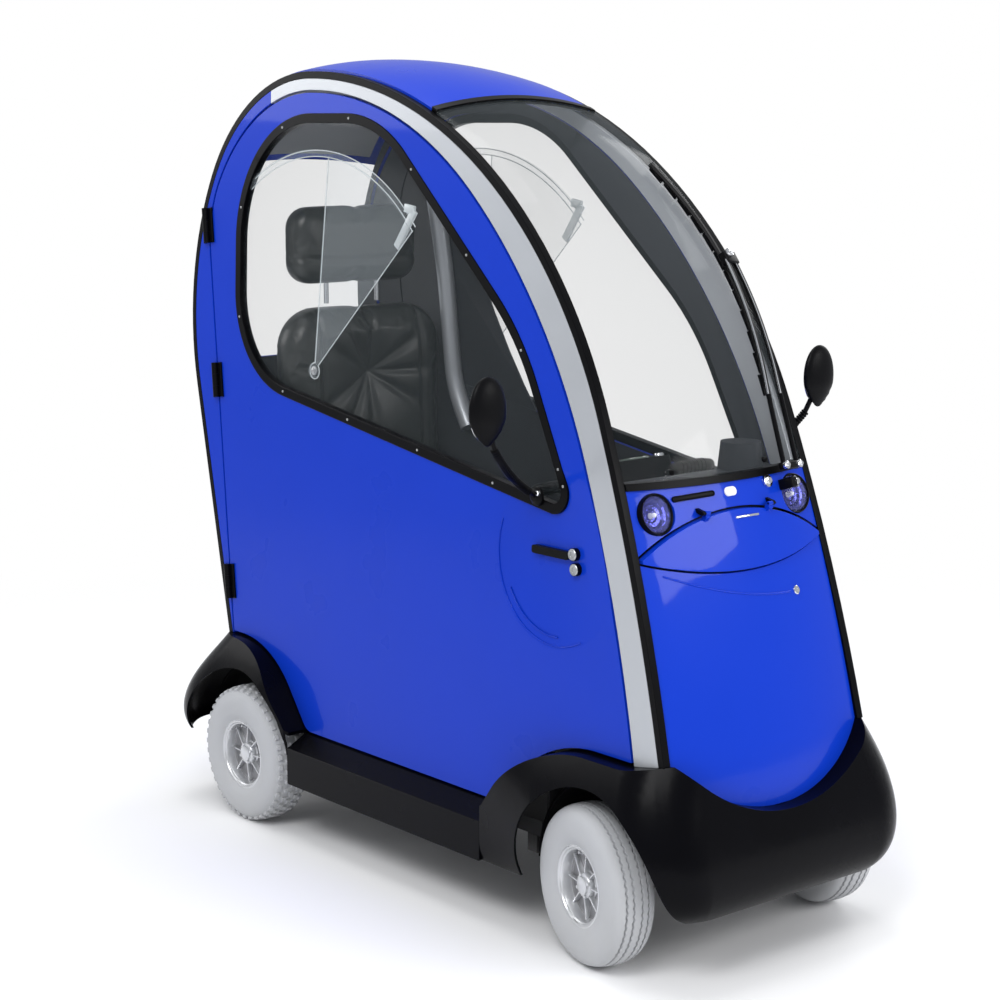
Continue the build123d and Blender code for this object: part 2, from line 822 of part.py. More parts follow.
# Sills between the mouldings, with a bevelled shoulder
sill_inner_x = 280
sill_low_z = 135
sill_shoulder_z = 222
sill_wall = 12
sill_top_z = 250
with BuildPart() as sills:
    with BuildSketch(Plane.XZ.offset(-rear_seam_y)):
        with BuildLine():
            Polyline(
                (sill_inner_x, sill_top_z),
                (belt_half_width + sill_wall / 2, sill_top_z),
                (sill_outer_x, sill_shoulder_z),
                (sill_outer_x, sill_low_z),
                (sill_outer_x - sill_wall, sill_low_z),
                (sill_outer_x - sill_wall, sill_shoulder_z - sill_wall / 2),
                (belt_half_width, sill_top_z - sill_wall),
                (sill_inner_x, sill_top_z - sill_wall),
                close=True,
            )
        make_face()
    extrude(amount=rear_seam_y - front_seam_y)
    mirror(about=Plane.YZ)
finish(sills, "sills")

# Floor tub: footwell, toe board and the decks over the wheels, bent from one sheet
toe_y = front_axle_y + arch_radius + moulding_wall
seat_riser_y = 170
deck_front_y = -776
deck_rear_y = 686
tub_bend_radius = 14
tub_side_height = sill_top_z - sill_wall
deck_half_width = 260
with BuildPart() as floor_tub:
    with BuildSketch(Plane.YZ):
        with BuildLine():
            FilletPolyline(
                (deck_front_y, deck_underside_z),
                (toe_y, deck_underside_z),
                (toe_y, floor_underside_z),
                (seat_riser_y, floor_underside_z),
                (seat_riser_y, deck_underside_z),
                (deck_rear_y, deck_underside_z),
                radius=tub_bend_radius,
            )
            offset(amount=sheet, side=Side.LEFT)
        make_face()
    extrude(amount=sill_inner_x - sheet, both=True)
    with BuildSketch(Plane.XY.offset(tub_side_height)):
        for way in (-1, 1):
            with Locations((way * (deck_half_width + reach / 2), 0)):
                Rectangle(reach, 2 * reach)
    extrude(amount=reach, mode=Mode.SUBTRACT)
    for way in (-1, 1):
        with BuildSketch(Plane.YZ.offset(way * (sill_inner_x - sheet))):
            with BuildLine():
                Polyline(
                    (toe_y, floor_underside_z),
                    (seat_riser_y, floor_underside_z),
                    (seat_riser_y, tub_side_height),
                    (toe_y, tub_side_height),
                    close=True,
                )
            make_face()
        extrude(amount=way * sheet)
finish(floor_tub, "floor_tub")

# Wheelhouses: half drums closed on their inner side
front_house_x = 165
rear_house_x = 240
house_outer_x = 290
# arch centre y, axle y, inner x
house_rows = [(front_axle_y, front_axle_y, front_house_x), (rear_arch_y, rear_axle_y, rear_house_x)]
house_hole_radius = 32
with BuildPart() as wheelhouses:
    for arch_y, axle_y, inner_x in house_rows:
        with BuildSketch(Plane.YZ.offset(inner_x)):
            with Locations((arch_y, hub_z)):
                Circle(arch_radius + moulding_wall)
                Circle(arch_radius, mode=Mode.SUBTRACT)
            with Locations((arch_y, hub_z - reach / 2)):
                Rectangle(reach, reach, mode=Mode.SUBTRACT)
        extrude(amount=house_outer_x - inner_x)
        with BuildSketch(Plane.YZ.offset(inner_x)):
            with Locations((arch_y, hub_z)):
                Circle(arch_radius + moulding_wall)
            with Locations((axle_y, hub_z)):
                Circle(house_hole_radius, mode=Mode.SUBTRACT)
            with Locations((arch_y, hub_z - reach / 2)):
                Rectangle(reach, reach, mode=Mode.SUBTRACT)
        extrude(amount=moulding_wall)
    with BuildSketch(Plane.YZ.offset(flange_inner_x)):
        above_fender_line(-sheet)
    extrude(amount=reach, mode=Mode.SUBTRACT)
    mirror(about=Plane.YZ)
finish(wheelhouses, "wheelhouses")

# Chassis: two box rails and cross members under the floor
rail_x = 120
rail_width = 30
rail_height = 40
rail_front_y = -800
axle_tube_radius = 24
rail_rear_y = rear_axle_y - axle_tube_radius
cross_rows = [(-420, sill_inner_x), (-120, sill_inner_x), (140, sill_inner_x)]
jack_pad_x = 240
jack_pad_y = -120
jack_pad_side = 56
jack_pad_height = 6
with BuildPart() as chassis_frame:
    with BuildSketch(Plane.XZ.offset(-rail_rear_y)):
        for way in (-1, 1):
            with Locations((way * rail_x, floor_underside_z - rail_height / 2)):
                Rectangle(rail_width, rail_height)
    extrude(amount=rail_rear_y - rail_front_y)
    for y, half in cross_rows:
        with BuildSketch(Plane.YZ):
            with Locations((y, floor_underside_z - rail_height / 2)):
                Rectangle(rail_width, rail_height)
        extrude(amount=half, both=True)
    with BuildSketch(Plane.XY.offset(floor_underside_z - rail_height - jack_pad_height)):
        for way in (-1, 1):
            with Locations((way * jack_pad_x, jack_pad_y)):
                Rectangle(jack_pad_side, jack_pad_side)
    extrude(amount=2 * jack_pad_height)
    with BuildSketch(Plane.YZ):
        with Locations((rail_front_y, floor_underside_z - rail_height / 2)):
            Rectangle(rail_width, rail_height)
    extrude(amount=rail_x + rail_width / 2, both=True)
finish(chassis_frame, "chassis_frame")

# Front axle: a beam with an upright sleeve at each end, and the knuckles that fork round them
beam_height = 30
beam_depth = 40
beam_top_z = floor_underside_z - rail_height
sleeve_radius = 18
sleeve_half_height = 40
kingpin_radius = 9
with BuildPart() as front_axle_beam:
    with BuildSketch(Plane.YZ):
        with Locations((front_axle_y, beam_top_z - beam_height / 2)):
            Rectangle(beam_depth, beam_height)
    extrude(amount=kingpin_x - sleeve_radius / 2, both=True)
    for way in (-1, 1):
        with BuildSketch(Plane.XY.offset(hub_z - sleeve_half_height)):
            with Locations((way * kingpin_x, front_axle_y)):
                Circle(sleeve_radius)
        extrude(amount=2 * sleeve_half_height)
        with BuildSketch(Plane.XY.offset(hub_z - sleeve_half_height)):
            with Locations((way * kingpin_x, front_axle_y)):
                Circle(kingpin_radius + pin_gap)
        extrude(amount=2 * sleeve_half_height, mode=Mode.SUBTRACT)
finish(front_axle_beam, "front_axle_beam")

fork_plate = 11
fork_gap = 0.5
fork_radius = 20
web_inner = 24
web_thickness = 9
stub_radius = 11
arm_length = 90
arm_width = 18
eye_radius = 12
link_pin_radius = 4
stub_reach = 30
stub_end = wheel_centre_x - kingpin_x + stub_reach
link_z = hub_z - sleeve_half_height - fork_gap
link_height = 12


def steered(way):
    """A plane at a kingpin, turned to the parked steering angle."""
    origin = Plane((way * kingpin_x, front_axle_y, 0), x_dir=(1, 0, 0), z_dir=(0, 0, 1))
    return origin.rotated((0, 0, steer_rest_angle))


def knuckle(way):
    """A fork round the beam's sleeve with its kingpin, stub axle and steering arm."""
    with BuildPart() as piece:
        base = steered(way)
        low = hub_z - sleeve_half_height - fork_gap - fork_plate
        high = hub_z + sleeve_half_height + fork_gap
        web_centre = way * (web_inner + web_thickness / 2)
        for z in (low, high):
            with BuildSketch(base.offset(z)):
                Circle(fork_radius)
                with Locations((web_centre / 2, 0)):
                    Rectangle(web_inner + web_thickness, 2 * fork_radius)
            extrude(amount=fork_plate)
        with BuildSketch(base.offset(low)):
            with Locations((web_centre, 0)):
                Rectangle(web_thickness, 2 * fork_radius)
        extrude(amount=high + fork_plate - low)
        with BuildSketch(base.offset(low)):
            Circle(kingpin_radius)
        extrude(amount=high - low)
        stub_plane = Plane(base.from_local_coords((web_centre, 0, hub_z)), x_dir=(0, 0, 1), z_dir=base.x_dir * way)
        with BuildSketch(stub_plane):
            Circle(stub_radius)
        extrude(amount=stub_end - web_inner)
        with BuildSketch(base.offset(low)):
            with Locations((0, arm_length / 2)):
                Rectangle(arm_width, arm_length)
            with Locations((0, arm_length)):
                Circle(eye_radius)
        extrude(amount=fork_plate)
        with BuildSketch(base.offset(low)):
            with Locations((0, arm_length)):
                Circle(link_pin_radius)
        extrude(amount=fork_plate + fork_gap + link_height)
    return piece


knuckle_left = knuckle(1)
finish(knuckle_left, "knuckle_left")
knuckle_right = knuckle(-1)
finish(knuckle_right, "knuckle_right")

# Tie rod between the two steering arms
arm_end_y = front_axle_y + arm_length * steer_cos
arm_end_shift = -arm_length * steer_sin
link_low_z = link_z + fork_gap
tie_rod_radius = 5.5
with BuildPart() as tie_rod:
    rod_plane = Plane.YZ.offset(arm_end_shift)
    with BuildSketch(rod_plane):
        with Locations((arm_end_y, link_low_z + link_height / 2)):
            Circle(tie_rod_radius)
    extrude(amount=kingpin_x, both=True)
    for way in (-1, 1):
        with BuildSketch(Plane.XY.offset(link_low_z)):
            with Locations((way * kingpin_x + arm_end_shift, arm_end_y)):
                Circle(eye_radius)
        extrude(amount=link_height)
    for way in (-1, 1):
        with BuildSketch(Plane.XY.offset(link_low_z)):
            with Locations((way * kingpin_x + arm_end_shift, arm_end_y)):
                Circle(link_pin_radius + pin_gap)
        extrude(amount=link_height, mode=Mode.SUBTRACT)
finish(tie_rod, "tie_rod")

# Rear transaxle: the axle tube with its hub flanges, the motor block and the gear case
gear_case_radius = 62
gear_case_width = 90
motor_radius = 55
motor_length = 210
shaft_radius = 11
axle_tube_half = 236
with BuildPart() as rear_transaxle:
    with BuildSketch(Plane.YZ):
        with Locations((rear_axle_y, hub_z)):
            Circle(axle_tube_radius)
    extrude(amount=axle_tube_half, both=True)
    with BuildSketch(Plane.YZ):
        with Locations((rear_axle_y, hub_z)):
            Circle(shaft_radius)
    extrude(amount=wheel_centre_x + stub_reach, both=True)
    with BuildSketch(Plane.YZ):
        with Locations((rear_axle_y, hub_z)):
            Circle(gear_case_radius)
    extrude(amount=gear_case_width / 2, both=True)
    with BuildSketch(Plane.XZ.offset(-rear_axle_y)):
        with Locations((0, hub_z)):
            Circle(motor_radius)
    extrude(amount=motor_length)
finish(rear_transaxle, "rear_transaxle")

# Wheels: a tyre with round shoulders on a two-piece rim
rim_radius = 80
rim_width = 78
rim_wall = 5
hub_radius = 26
hub_half = 24
tread_crown = 4
shoulder_radius = 26
tread_radius = 200
bead_width = 84
disc_x = 12
rib_count = 8
rib_width = 5
rib_height = 13


def tyre_profile():
    """Half section of a tyre on its axle plane: x along the axle, y outward."""
    half = tyre_width / 2
    with BuildLine() as outline:
        FilletPolyline(
            (-bead_width / 2, rim_radius),
            (-half, rim_radius + shoulder_radius),
            (-half, tyre_radius - tread_crown),
            (0, tyre_radius + tread_crown / 4),
            (half, tyre_radius - tread_crown),
            (half, rim_radius + shoulder_radius),
            (bead_width / 2, rim_radius),
            radius=[shoulder_radius / 2, shoulder_radius, tread_radius, shoulder_radius, shoulder_radius / 2],
        )
        Line((-bead_width / 2, rim_radius), (bead_width / 2, rim_radius))
    make_face(outline.edges())


def wheel_plane(x, y, turned):
    """A plane at a wheel's centre, its z along the axle and out of the vehicle's left."""
    axle = Vector(cos(radians(turned)), sin(radians(turned)), 0)
    return Plane((x, y, hub_z), x_dir=(0, 0, 1), z_dir=axle)


front_shift = wheel_centre_x - kingpin_x
# name, plane at the wheel's centre, side
wheel_rows = []
for side_name, way in (("left", 1), ("right", -1)):
    steered_x = way * (kingpin_x + front_shift * steer_cos)
    steered_y = front_axle_y + way * front_shift * steer_sin
    wheel_rows.append((f"front_{side_name}", wheel_plane(steered_x, steered_y, steer_rest_angle), way, stub_radius))
    wheel_rows.append((f"rear_{side_name}", wheel_plane(way * wheel_centre_x, rear_axle_y, 0), way, shaft_radius))

for name, plane, way, bore in wheel_rows:
    upright = Plane(plane.origin, x_dir=plane.z_dir, z_dir=plane.z_dir.cross(Vector(0, 0, 1)))
    axle = Axis(plane.origin, plane.z_dir)
    with BuildPart() as tyre:
        with BuildSketch(upright):
            tyre_profile()
        revolve(axis=axle)
    finish(tyre, f"tyre_{name}")
    with BuildPart() as rim:
        with BuildSketch(upright):
            with Locations((0, rim_radius - rim_wall / 2)):
                Rectangle(rim_width, rim_wall)
            with Locations((way * disc_x, (rim_radius + hub_radius) / 2)):
                Rectangle(rim_wall * 2, rim_radius - hub_radius)
            with Locations((0, (hub_radius + bore) / 2 + pin_gap / 2)):
                Rectangle(2 * hub_half, hub_radius - bore - pin_gap)
        revolve(axis=axle)
        for index in range(rib_count):
            along = Vector(0, 0, 1).rotate(Axis((0, 0, 0), plane.z_dir), index * 360 / rib_count)
            face_of_disc = plane.origin + plane.z_dir * way * disc_x
            with BuildSketch(Plane(face_of_disc, x_dir=along, z_dir=plane.z_dir * way)):
                with Locations(((rim_radius - rim_wall + hub_radius) / 2, 0)):
                    Rectangle(rim_radius - hub_radius, rib_width)
            extrude(amount=rim_wall + rib_height)
    finish(rim, f"rim_{name}")

# Tiller: an inclined column with an instrument head and two looped grips
tiller_foot = Vector(0, -560, deck_underside_z + sheet)
tiller_head_point = Vector(0, -425, 905)
tiller_axis = (tiller_head_point - tiller_foot).normalized()
tiller_length = (tiller_head_point - tiller_foot).length
column_radius = 24
boot_radius = 48
boot_height = 46
bearing_gap = 0.3
with BuildPart() as tiller_boss:
    with BuildSketch(Plane.XY.offset(tiller_foot.Z)):
        with Locations((0, tiller_foot.Y)):
            Circle(boot_radius)
    extrude(amount=boot_height, taper=18)
    with BuildSketch(Plane(tiller_foot, z_dir=tiller_axis).offset(-boot_radius)):
        Circle(column_radius + bearing_gap)
    extrude(amount=reach, mode=Mode.SUBTRACT)
finish(tiller_boss, "tiller_boss")

tiller_across = Vector(1, 0, 0).rotate(Axis((0, 0, 0), tiller_axis), steer_rest_angle)
tiller_plane = Plane(tiller_foot, x_dir=tiller_across, z_dir=tiller_axis)
column_start = boot_radius / 2
with BuildPart() as tiller_column:
    with BuildSketch(tiller_plane.offset(column_start)):
        Circle(column_radius)
    extrude(amount=tiller_length - column_start)
finish(tiller_column, "tiller_column")

head_width = 170
head_depth = 100
head_height = 62
head_fillet = 16
grip_radius = 13
grip_reach = 205
grip_drop = 80
head_plane = tiller_plane.offset(tiller_length)
with BuildPart() as tiller_head:
    with BuildSketch(head_plane):
        RectangleRounded(head_width, head_depth, head_fillet)
    extrude(amount=head_height, taper=8)
    for way in (-1, 1):
        with BuildLine() as grip_line:
            corners = [
                (way * head_width / 4, 0, head_height / 2),
                (way * grip_reach, 0, head_height / 2),
                (way * grip_reach, grip_drop, head_height / 2),
                (way * head_width / 4, grip_drop / 3, head_height / 2),
            ]
            FilletPolyline(*[head_plane.from_local_coords(corner) for corner in corners], radius=grip_radius * 2)
        with BuildSketch(Plane(grip_line.line @ 0, z_dir=grip_line.line % 0)):
            Circle(grip_radius)
        sweep(path=grip_line.line)
finish(tiller_head, "tiller_head")

# Dashboard: a shelf under the windscreen between the side frames, with a binnacle on the left
dash_rows = [
    (-636, 952, 8),
    (-566, 958, 20),
    (-528, 924, 16),
    (-532, 868, 16),
    (-606, 750, 20),
    (-690, 750, 8),
    (-668, 830, 8),
]
binnacle_x = 150
binnacle_y = -588
binnacle_radius = 52
binnacle_height = 62
with BuildPart() as dashboard:
    with BuildSketch(Plane.YZ):
        with BuildLine():
            points = [(y, z) for y, z, radius in dash_rows]
            FilletPolyline(*points, radius=[radius for y, z, radius in dash_rows], close=True)
        make_face()
    extrude(amount=reach, both=True)
    between_sides(frame_depth)
    with BuildSketch(Plane.XY.offset(dash_rows[2][1])):
        with Locations((binnacle_x, binnacle_y)):
            Circle(binnacle_radius)
    extrude(amount=dash_rows[0][1] - dash_rows[2][1] + binnacle_height, taper=6)
finish(dashboard, "dashboard")

# Seat: battery box, frame, cushion, back and headrest
deck_top_z = deck_underside_z + sheet
battery_width = 400
battery_length = 340
battery_height = 150
seat_centre_y = 372
seat_half_width = 235
post_radius = 34
post_height = 30
pan_thickness = 14
cushion_height = 72
cushion_front_y = 175
cushion_rear_y = 545
back_front_y = 510
back_thickness = 112
back_top_z = 1240
with BuildPart() as battery_box:
    with BuildSketch(Plane.XY.offset(deck_top_z)):
        with Locations((0, seat_centre_y)):
            RectangleRounded(battery_width, battery_length, post_radius)
    extrude(amount=battery_height)
finish(battery_box, "battery_box")

pan_z = deck_top_z + battery_height + post_height
back_bracket_width = 60
with BuildPart() as seat_frame:
    with BuildSketch(Plane.XY.offset(deck_top_z + battery_height)):
        with Locations((0, seat_centre_y)):
            Circle(post_radius)
    extrude(amount=post_height)
    with BuildSketch(Plane.XY.offset(pan_z)):
        with Locations((0, seat_centre_y)):
            RectangleRounded(battery_width, battery_length, post_radius)
    extrude(amount=pan_thickness)
    for way in (-1, 1):
        with BuildSketch(Plane.XY.offset(pan_z)):
            with Locations((way * battery_width / 3, back_front_y + back_thickness)):
                Rectangle(back_bracket_width, pan_thickness)
        extrude(amount=back_top_z / 3)
        with BuildSketch(Plane.XY.offset(pan_z)):
            with Locations((way * battery_width / 3, (seat_centre_y + back_front_y + back_thickness) / 2)):
                Rectangle(back_bracket_width, back_front_y + back_thickness - seat_centre_y + pan_thickness)
        extrude(amount=pan_thickness)
finish(seat_frame, "seat_frame")

cushion_low_z = pan_z + pan_thickness
soft_radius = 30
with BuildPart() as seat_cushion:
    with BuildSketch(Plane.XY.offset(cushion_low_z)):
        with Locations((0, (cushion_front_y + back_front_y) / 2)):
            RectangleRounded(2 * seat_half_width, back_front_y - cushion_front_y, soft_radius)
    extrude(amount=cushion_height)
    fillet(seat_cushion.faces().sort_by(Axis.Z)[-1].edges(), soft_radius / 2)
finish(seat_cushion, "seat_cushion")

back_rise = 10
back_low_z = cushion_low_z + back_rise
with BuildPart() as seat_back:
    with BuildSketch(Plane.XZ.offset(-back_front_y - back_thickness + pan_thickness / 2)):
        with Locations((0, (back_low_z + back_top_z) / 2)):
            RectangleRounded(2 * seat_half_width, back_top_z - back_low_z, soft_radius * 2)
    extrude(amount=back_thickness - pan_thickness / 2)
    fillet(seat_back.faces().sort_by(Axis.Y)[0].edges(), soft_radius)
finish(seat_back, "seat_back")

headrest_half_width = 178
headrest_low_z = 1289
headrest_top_z = 1473
headrest_thickness = 84
headrest_post_x = 76
headrest_post_radius = 6
headrest_y = 586
with BuildPart() as headrest:
    with BuildSketch(Plane.XZ.offset(-headrest_y - headrest_thickness / 2)):
        with Locations((0, (headrest_low_z + headrest_top_z) / 2)):
            RectangleRounded(2 * headrest_half_width, headrest_top_z - headrest_low_z, soft_radius * 2)
    extrude(amount=headrest_thickness)
    fillet(headrest.faces().sort_by(Axis.Y)[0].edges(), soft_radius)
finish(headrest, "headrest")
with BuildPart() as headrest_posts:
    with BuildSketch(Plane.XY.offset(back_top_z)):
        for way in (-1, 1):
            with Locations((way * headrest_post_x, headrest_y)):
                Circle(headrest_post_radius)
    extrude(amount=headrest_low_z - back_top_z)
finish(headrest_posts, "headrest_posts")

# Wiper: a motor base, two parallel arms and a blade that follows the glass
wiper_x = 212
blade_start_turn = 33
blade_sweep = 27
blade_height = 14
blade_width = 10
blade_stand = 3
clamp_bite = 2
arm_foot_turn = 74.6
arm_foot_stand = 8
arm_head_turn = 48
arm_stand = 34
arm_radius = 4
arm_spacing = 26
glass_side_drop = roof_crown * (1 - (wiper_x / crown_half_width) ** 2)
front_radius = corner_front_rows[0][0]
arc_centre = Vector(0, apex_y, apex_z - front_radius)


def over_glass(x, turned, stand):
    """A point over the windscreen's arc, at its turn from the apex and its stand-off."""
    along = Vector(0, -sin(radians(turned)), cos(radians(turned)))
    return arc_centre + Vector(x, 0, 0) + along * (front_radius + glass_side_drop + stand)


with BuildPart() as wiper:
    start = over_glass(wiper_x, blade_start_turn, blade_stand + blade_height / 2)
    out = (start - arc_centre - Vector(wiper_x, 0, 0)).normalized()
    with BuildSketch(Plane(start, x_dir=(1, 0, 0), z_dir=Vector(1, 0, 0).cross(out))):
        Rectangle(blade_width, blade_height)
    revolve(axis=Axis(arc_centre, (1, 0, 0)), revolution_arc=blade_sweep)
    head = over_glass(wiper_x - arm_spacing / 2, arm_head_turn, arm_stand)
    foot = over_glass(wiper_x - arm_spacing / 2, arm_foot_turn, arm_stand)
    for shift in (0, arm_spacing):
        first = head + Vector(shift, 0, 0)
        second = foot + Vector(shift, 0, 0)
        with BuildSketch(Plane(first, z_dir=second - first)):
            Circle(arm_radius)
        extrude(amount=(second - first).length)
    for turned, low, high, length in (
        (arm_head_turn, blade_stand + blade_height - clamp_bite, arm_stand + arm_radius, arm_spacing),
        (arm_foot_turn, arm_foot_stand, arm_stand + arm_radius, arm_spacing),
    ):
        low_point = over_glass(wiper_x, turned, low)
        high_point = over_glass(wiper_x, turned, high)
        with BuildSketch(Plane(low_point, x_dir=(1, 0, 0), z_dir=high_point - low_point)):
            Rectangle(arm_spacing + 3 * arm_radius, length)
        extrude(amount=(high_point - low_point).length)
    add(cowl_panel.part, mode=Mode.SUBTRACT)
    add(screen_seal.part, mode=Mode.SUBTRACT)
    add(corner_seals.part, mode=Mode.SUBTRACT)
    add(canopy["windscreen"].part, mode=Mode.SUBTRACT)
finish(wiper, "wiper")
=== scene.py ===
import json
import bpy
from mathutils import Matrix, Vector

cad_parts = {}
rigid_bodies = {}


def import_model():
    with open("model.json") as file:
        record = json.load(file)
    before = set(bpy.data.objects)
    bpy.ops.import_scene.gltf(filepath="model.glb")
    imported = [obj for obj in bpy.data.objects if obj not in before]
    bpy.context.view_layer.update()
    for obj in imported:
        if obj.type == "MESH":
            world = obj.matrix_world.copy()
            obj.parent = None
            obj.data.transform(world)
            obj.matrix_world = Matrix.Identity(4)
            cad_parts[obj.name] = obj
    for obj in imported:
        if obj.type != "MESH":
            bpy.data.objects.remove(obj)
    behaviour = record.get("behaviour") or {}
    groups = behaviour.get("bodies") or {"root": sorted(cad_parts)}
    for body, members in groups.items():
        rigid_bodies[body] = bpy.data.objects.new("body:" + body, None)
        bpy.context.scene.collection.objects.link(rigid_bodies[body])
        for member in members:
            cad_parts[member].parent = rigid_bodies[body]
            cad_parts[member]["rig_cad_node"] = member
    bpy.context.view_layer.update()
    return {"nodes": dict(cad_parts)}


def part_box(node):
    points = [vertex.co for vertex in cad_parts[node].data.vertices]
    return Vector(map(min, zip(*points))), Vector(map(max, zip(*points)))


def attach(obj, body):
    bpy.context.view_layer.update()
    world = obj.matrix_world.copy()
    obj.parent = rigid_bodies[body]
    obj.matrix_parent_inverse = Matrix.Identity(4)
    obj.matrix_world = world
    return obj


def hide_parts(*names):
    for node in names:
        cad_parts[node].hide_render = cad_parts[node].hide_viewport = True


bl_info = {
    "name": "Enclosed mobility scooter",
    "version": (1, 0, 0),
    "blender": (4, 5, 0),
    "location": "3D View > Sidebar > Scooter",
    "description": "Dresses the packed model of a small cab scooter and lights it",
    "category": "Object",
}

from math import atan2, cos, pi, radians, sin, sqrt

import bmesh
import bpy
from mathutils import Matrix, Vector

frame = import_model()

# Places carried over from the part's source, in metres
ROOF_TOP = (0.410, 1.782)
# radius and sweep in degrees of each arc, from the roof top forward or back
FRONT_ARCS = ((1.104, 68.0), (4.324, 9.0), (0.500, 14.0))
REAR_ARCS = ((0.450, 62.0), (0.700, 42.5))
CROWN = 0.034
CROWN_EDGE = 0.262
HALF_WIDTH = 0.290
SIDE_LEAN = 0.0355
LEAN_FROM = 0.446
WHEELS = (
    # name, hub x, hub y, turn about the vertical, outward side, tread
    ("front_left", 0.308361, -0.681593, -12.0, 1, "ribbed"),
    ("front_right", -0.308361, -0.650407, -12.0, -1, "ribbed"),
    ("rear_left", 0.310, 0.574, 0.0, 1, "knobbly"),
    ("rear_right", -0.310, 0.574, 0.0, -1, "knobbly"),
)
HUB_Z = 0.165
SIDES = (("left", 1), ("right", -1))

# Vertices nearer than this become one: in a turned or copied mesh, and where repeated parts meet
WELD = 0.00002
PART_WELD = 0.00005


# Small helpers for working as by hand


def let_go():
    """Leaves edit mode and deselects everything."""
    if bpy.context.object and bpy.context.object.mode != "OBJECT":
        bpy.ops.object.mode_set(mode="OBJECT")
    bpy.ops.object.select_all(action="DESELECT")


def hold(piece):
    """Makes one object the active one and the only one selected."""
    let_go()
    piece.select_set(True)
    bpy.context.view_layer.objects.active = piece


def begin(name, shape, **where):
    """Adds a primitive of a shape and names it."""
    let_go()
    getattr(bpy.ops.mesh, f"primitive_{shape}_add")(**where)
    piece = bpy.context.object
    piece.name = name
    piece.data.name = name
    return piece


def pick(piece, kind, test):
    """In edit mode, selects the vertices, edges or faces whose middle passes a test."""
    hold(piece)
    bpy.ops.object.mode_set(mode="EDIT")
    bpy.ops.mesh.select_mode(type=kind)
    bpy.ops.mesh.select_all(action="DESELECT")
    mesh = bmesh.from_edit_mesh(piece.data)
    if kind == "VERT":
        for vert in mesh.verts:
            vert.select_set(bool(test(vert.co, vert.normal)))
    elif kind == "EDGE":
        for edge in mesh.edges:
            middle = (edge.verts[0].co + edge.verts[1].co) / 2
            edge.select_set(bool(test(middle, edge.verts[1].co - edge.verts[0].co)))
    else:
        for face in mesh.faces:
            face.select_set(bool(test(face.calc_center_median(), face.normal)))
    mesh.select_flush_mode()
    bmesh.update_edit_mesh(piece.data)


def drawn(name, points, closed=False):
    """Draws a line of vertices through points, each extruded from the last."""
    piece = begin(name, "plane", size=0.01, location=(0, 0, 0))
    bpy.ops.object.mode_set(mode="EDIT")
    bpy.ops.mesh.select_mode(type="VERT")
    bpy.ops.mesh.select_all(action="SELECT")
    bpy.ops.mesh.merge(type="CENTER")
    bpy.ops.transform.translate(value=points[0])
    here = Vector(points[0])
    for point in points[1:]:
        step = Vector(point) - here
        bpy.ops.mesh.extrude_region_move(TRANSFORM_OT_translate={"value": step})
        here = Vector(point)
    bpy.ops.mesh.select_all(action="SELECT")
    if closed:
        bpy.ops.mesh.edge_face_add()
    bpy.ops.object.mode_set(mode="OBJECT")
    return piece


def edit(piece):
    """Opens a piece's mesh with all of it selected."""
    hold(piece)
    bpy.ops.object.mode_set(mode="EDIT")
    bpy.ops.mesh.select_all(action="SELECT")


def leave(weld=None, outward=False):
    """Joins vertices that meet, turns the faces outward if asked, and closes the mesh."""
    bpy.ops.mesh.select_all(action="SELECT")
    if weld:
        bpy.ops.mesh.remove_doubles(threshold=weld)
    if outward:
        bpy.ops.mesh.normals_make_consistent(inside=False)
    bpy.ops.object.mode_set(mode="OBJECT")


def repeated(piece, count):
    """Repeats a part round the Z axis."""
    edit(piece)
    bpy.ops.mesh.spin(steps=count, angle=2 * pi, dupli=True, center=(0, 0, 0), axis=(0, 0, 1))
    leave(PART_WELD)
    return piece


def turned(name, outline, steps=48):
    """Turns an outline of (radius, height) points round the Z axis."""
    piece = drawn(name, [(radius, 0, height) for radius, height in outline])
    edit(piece)
    bpy.ops.mesh.spin(steps=steps, angle=2 * pi, center=(0, 0, 0), axis=(0, 0, 1))
    leave(WELD, outward=True)
    return piece


def scaled(piece, size):
    """Stretches a piece of unit size and puts that into its mesh."""
    bpy.ops.transform.resize(value=size)
    bpy.ops.object.transform_apply(location=True, rotation=True, scale=True)
    return piece


def block(name, size):
    """A plain block about the origin."""
    return scaled(begin(name, "cube", size=1, location=(0, 0, 0)), size)


def rod(name, points, radius, sides=12, order=3):
    """A round rod along a smooth line through control points."""
    let_go()
    bpy.ops.curve.primitive_nurbs_path_add(location=(0, 0, 0))
    curve = bpy.context.object
    curve.name = name
    line = curve.data
    line.splines.clear()
    spline = line.splines.new("NURBS")
    spline.points.add(len(points) - 1)
    for knot, point in zip(spline.points, points):
        knot.co = (*point, 1)
    spline.order_u = order
    spline.use_endpoint_u = True
    line.bevel_depth = radius
    line.bevel_resolution = max(1, sides // 4 - 1)
    line.resolution_u = 10
    line.use_fill_caps = True
    bpy.ops.object.convert(target="MESH")
    piece = bpy.context.object
    piece.data.name = name
    return piece


def place(piece, at=(0, 0, 0), turn=None):
    """Turns a piece, moves it to its place and puts both into its mesh."""
    hold(piece)
    matrix = turn.to_4x4() if turn is not None else Matrix.Identity(4)
    piece.matrix_world = Matrix.Translation(Vector(at)) @ matrix @ piece.matrix_world
    bpy.ops.object.transform_apply(location=True, rotation=True, scale=True)
    return piece


def aim(direction, side=(1, 0, 0)):
    """A turn that takes the Z axis to a direction and keeps X near a side."""
    z = Vector(direction).normalized()
    x = Vector(side)
    x = (x - z * x.dot(z)).normalized()
    return Matrix((x, z.cross(x), z)).transposed()


def apply_all(piece):
    """Applies every modifier of a piece in order."""
    hold(piece)
    for modifier in list(piece.modifiers):
        bpy.ops.object.modifier_apply(modifier=modifier.name)


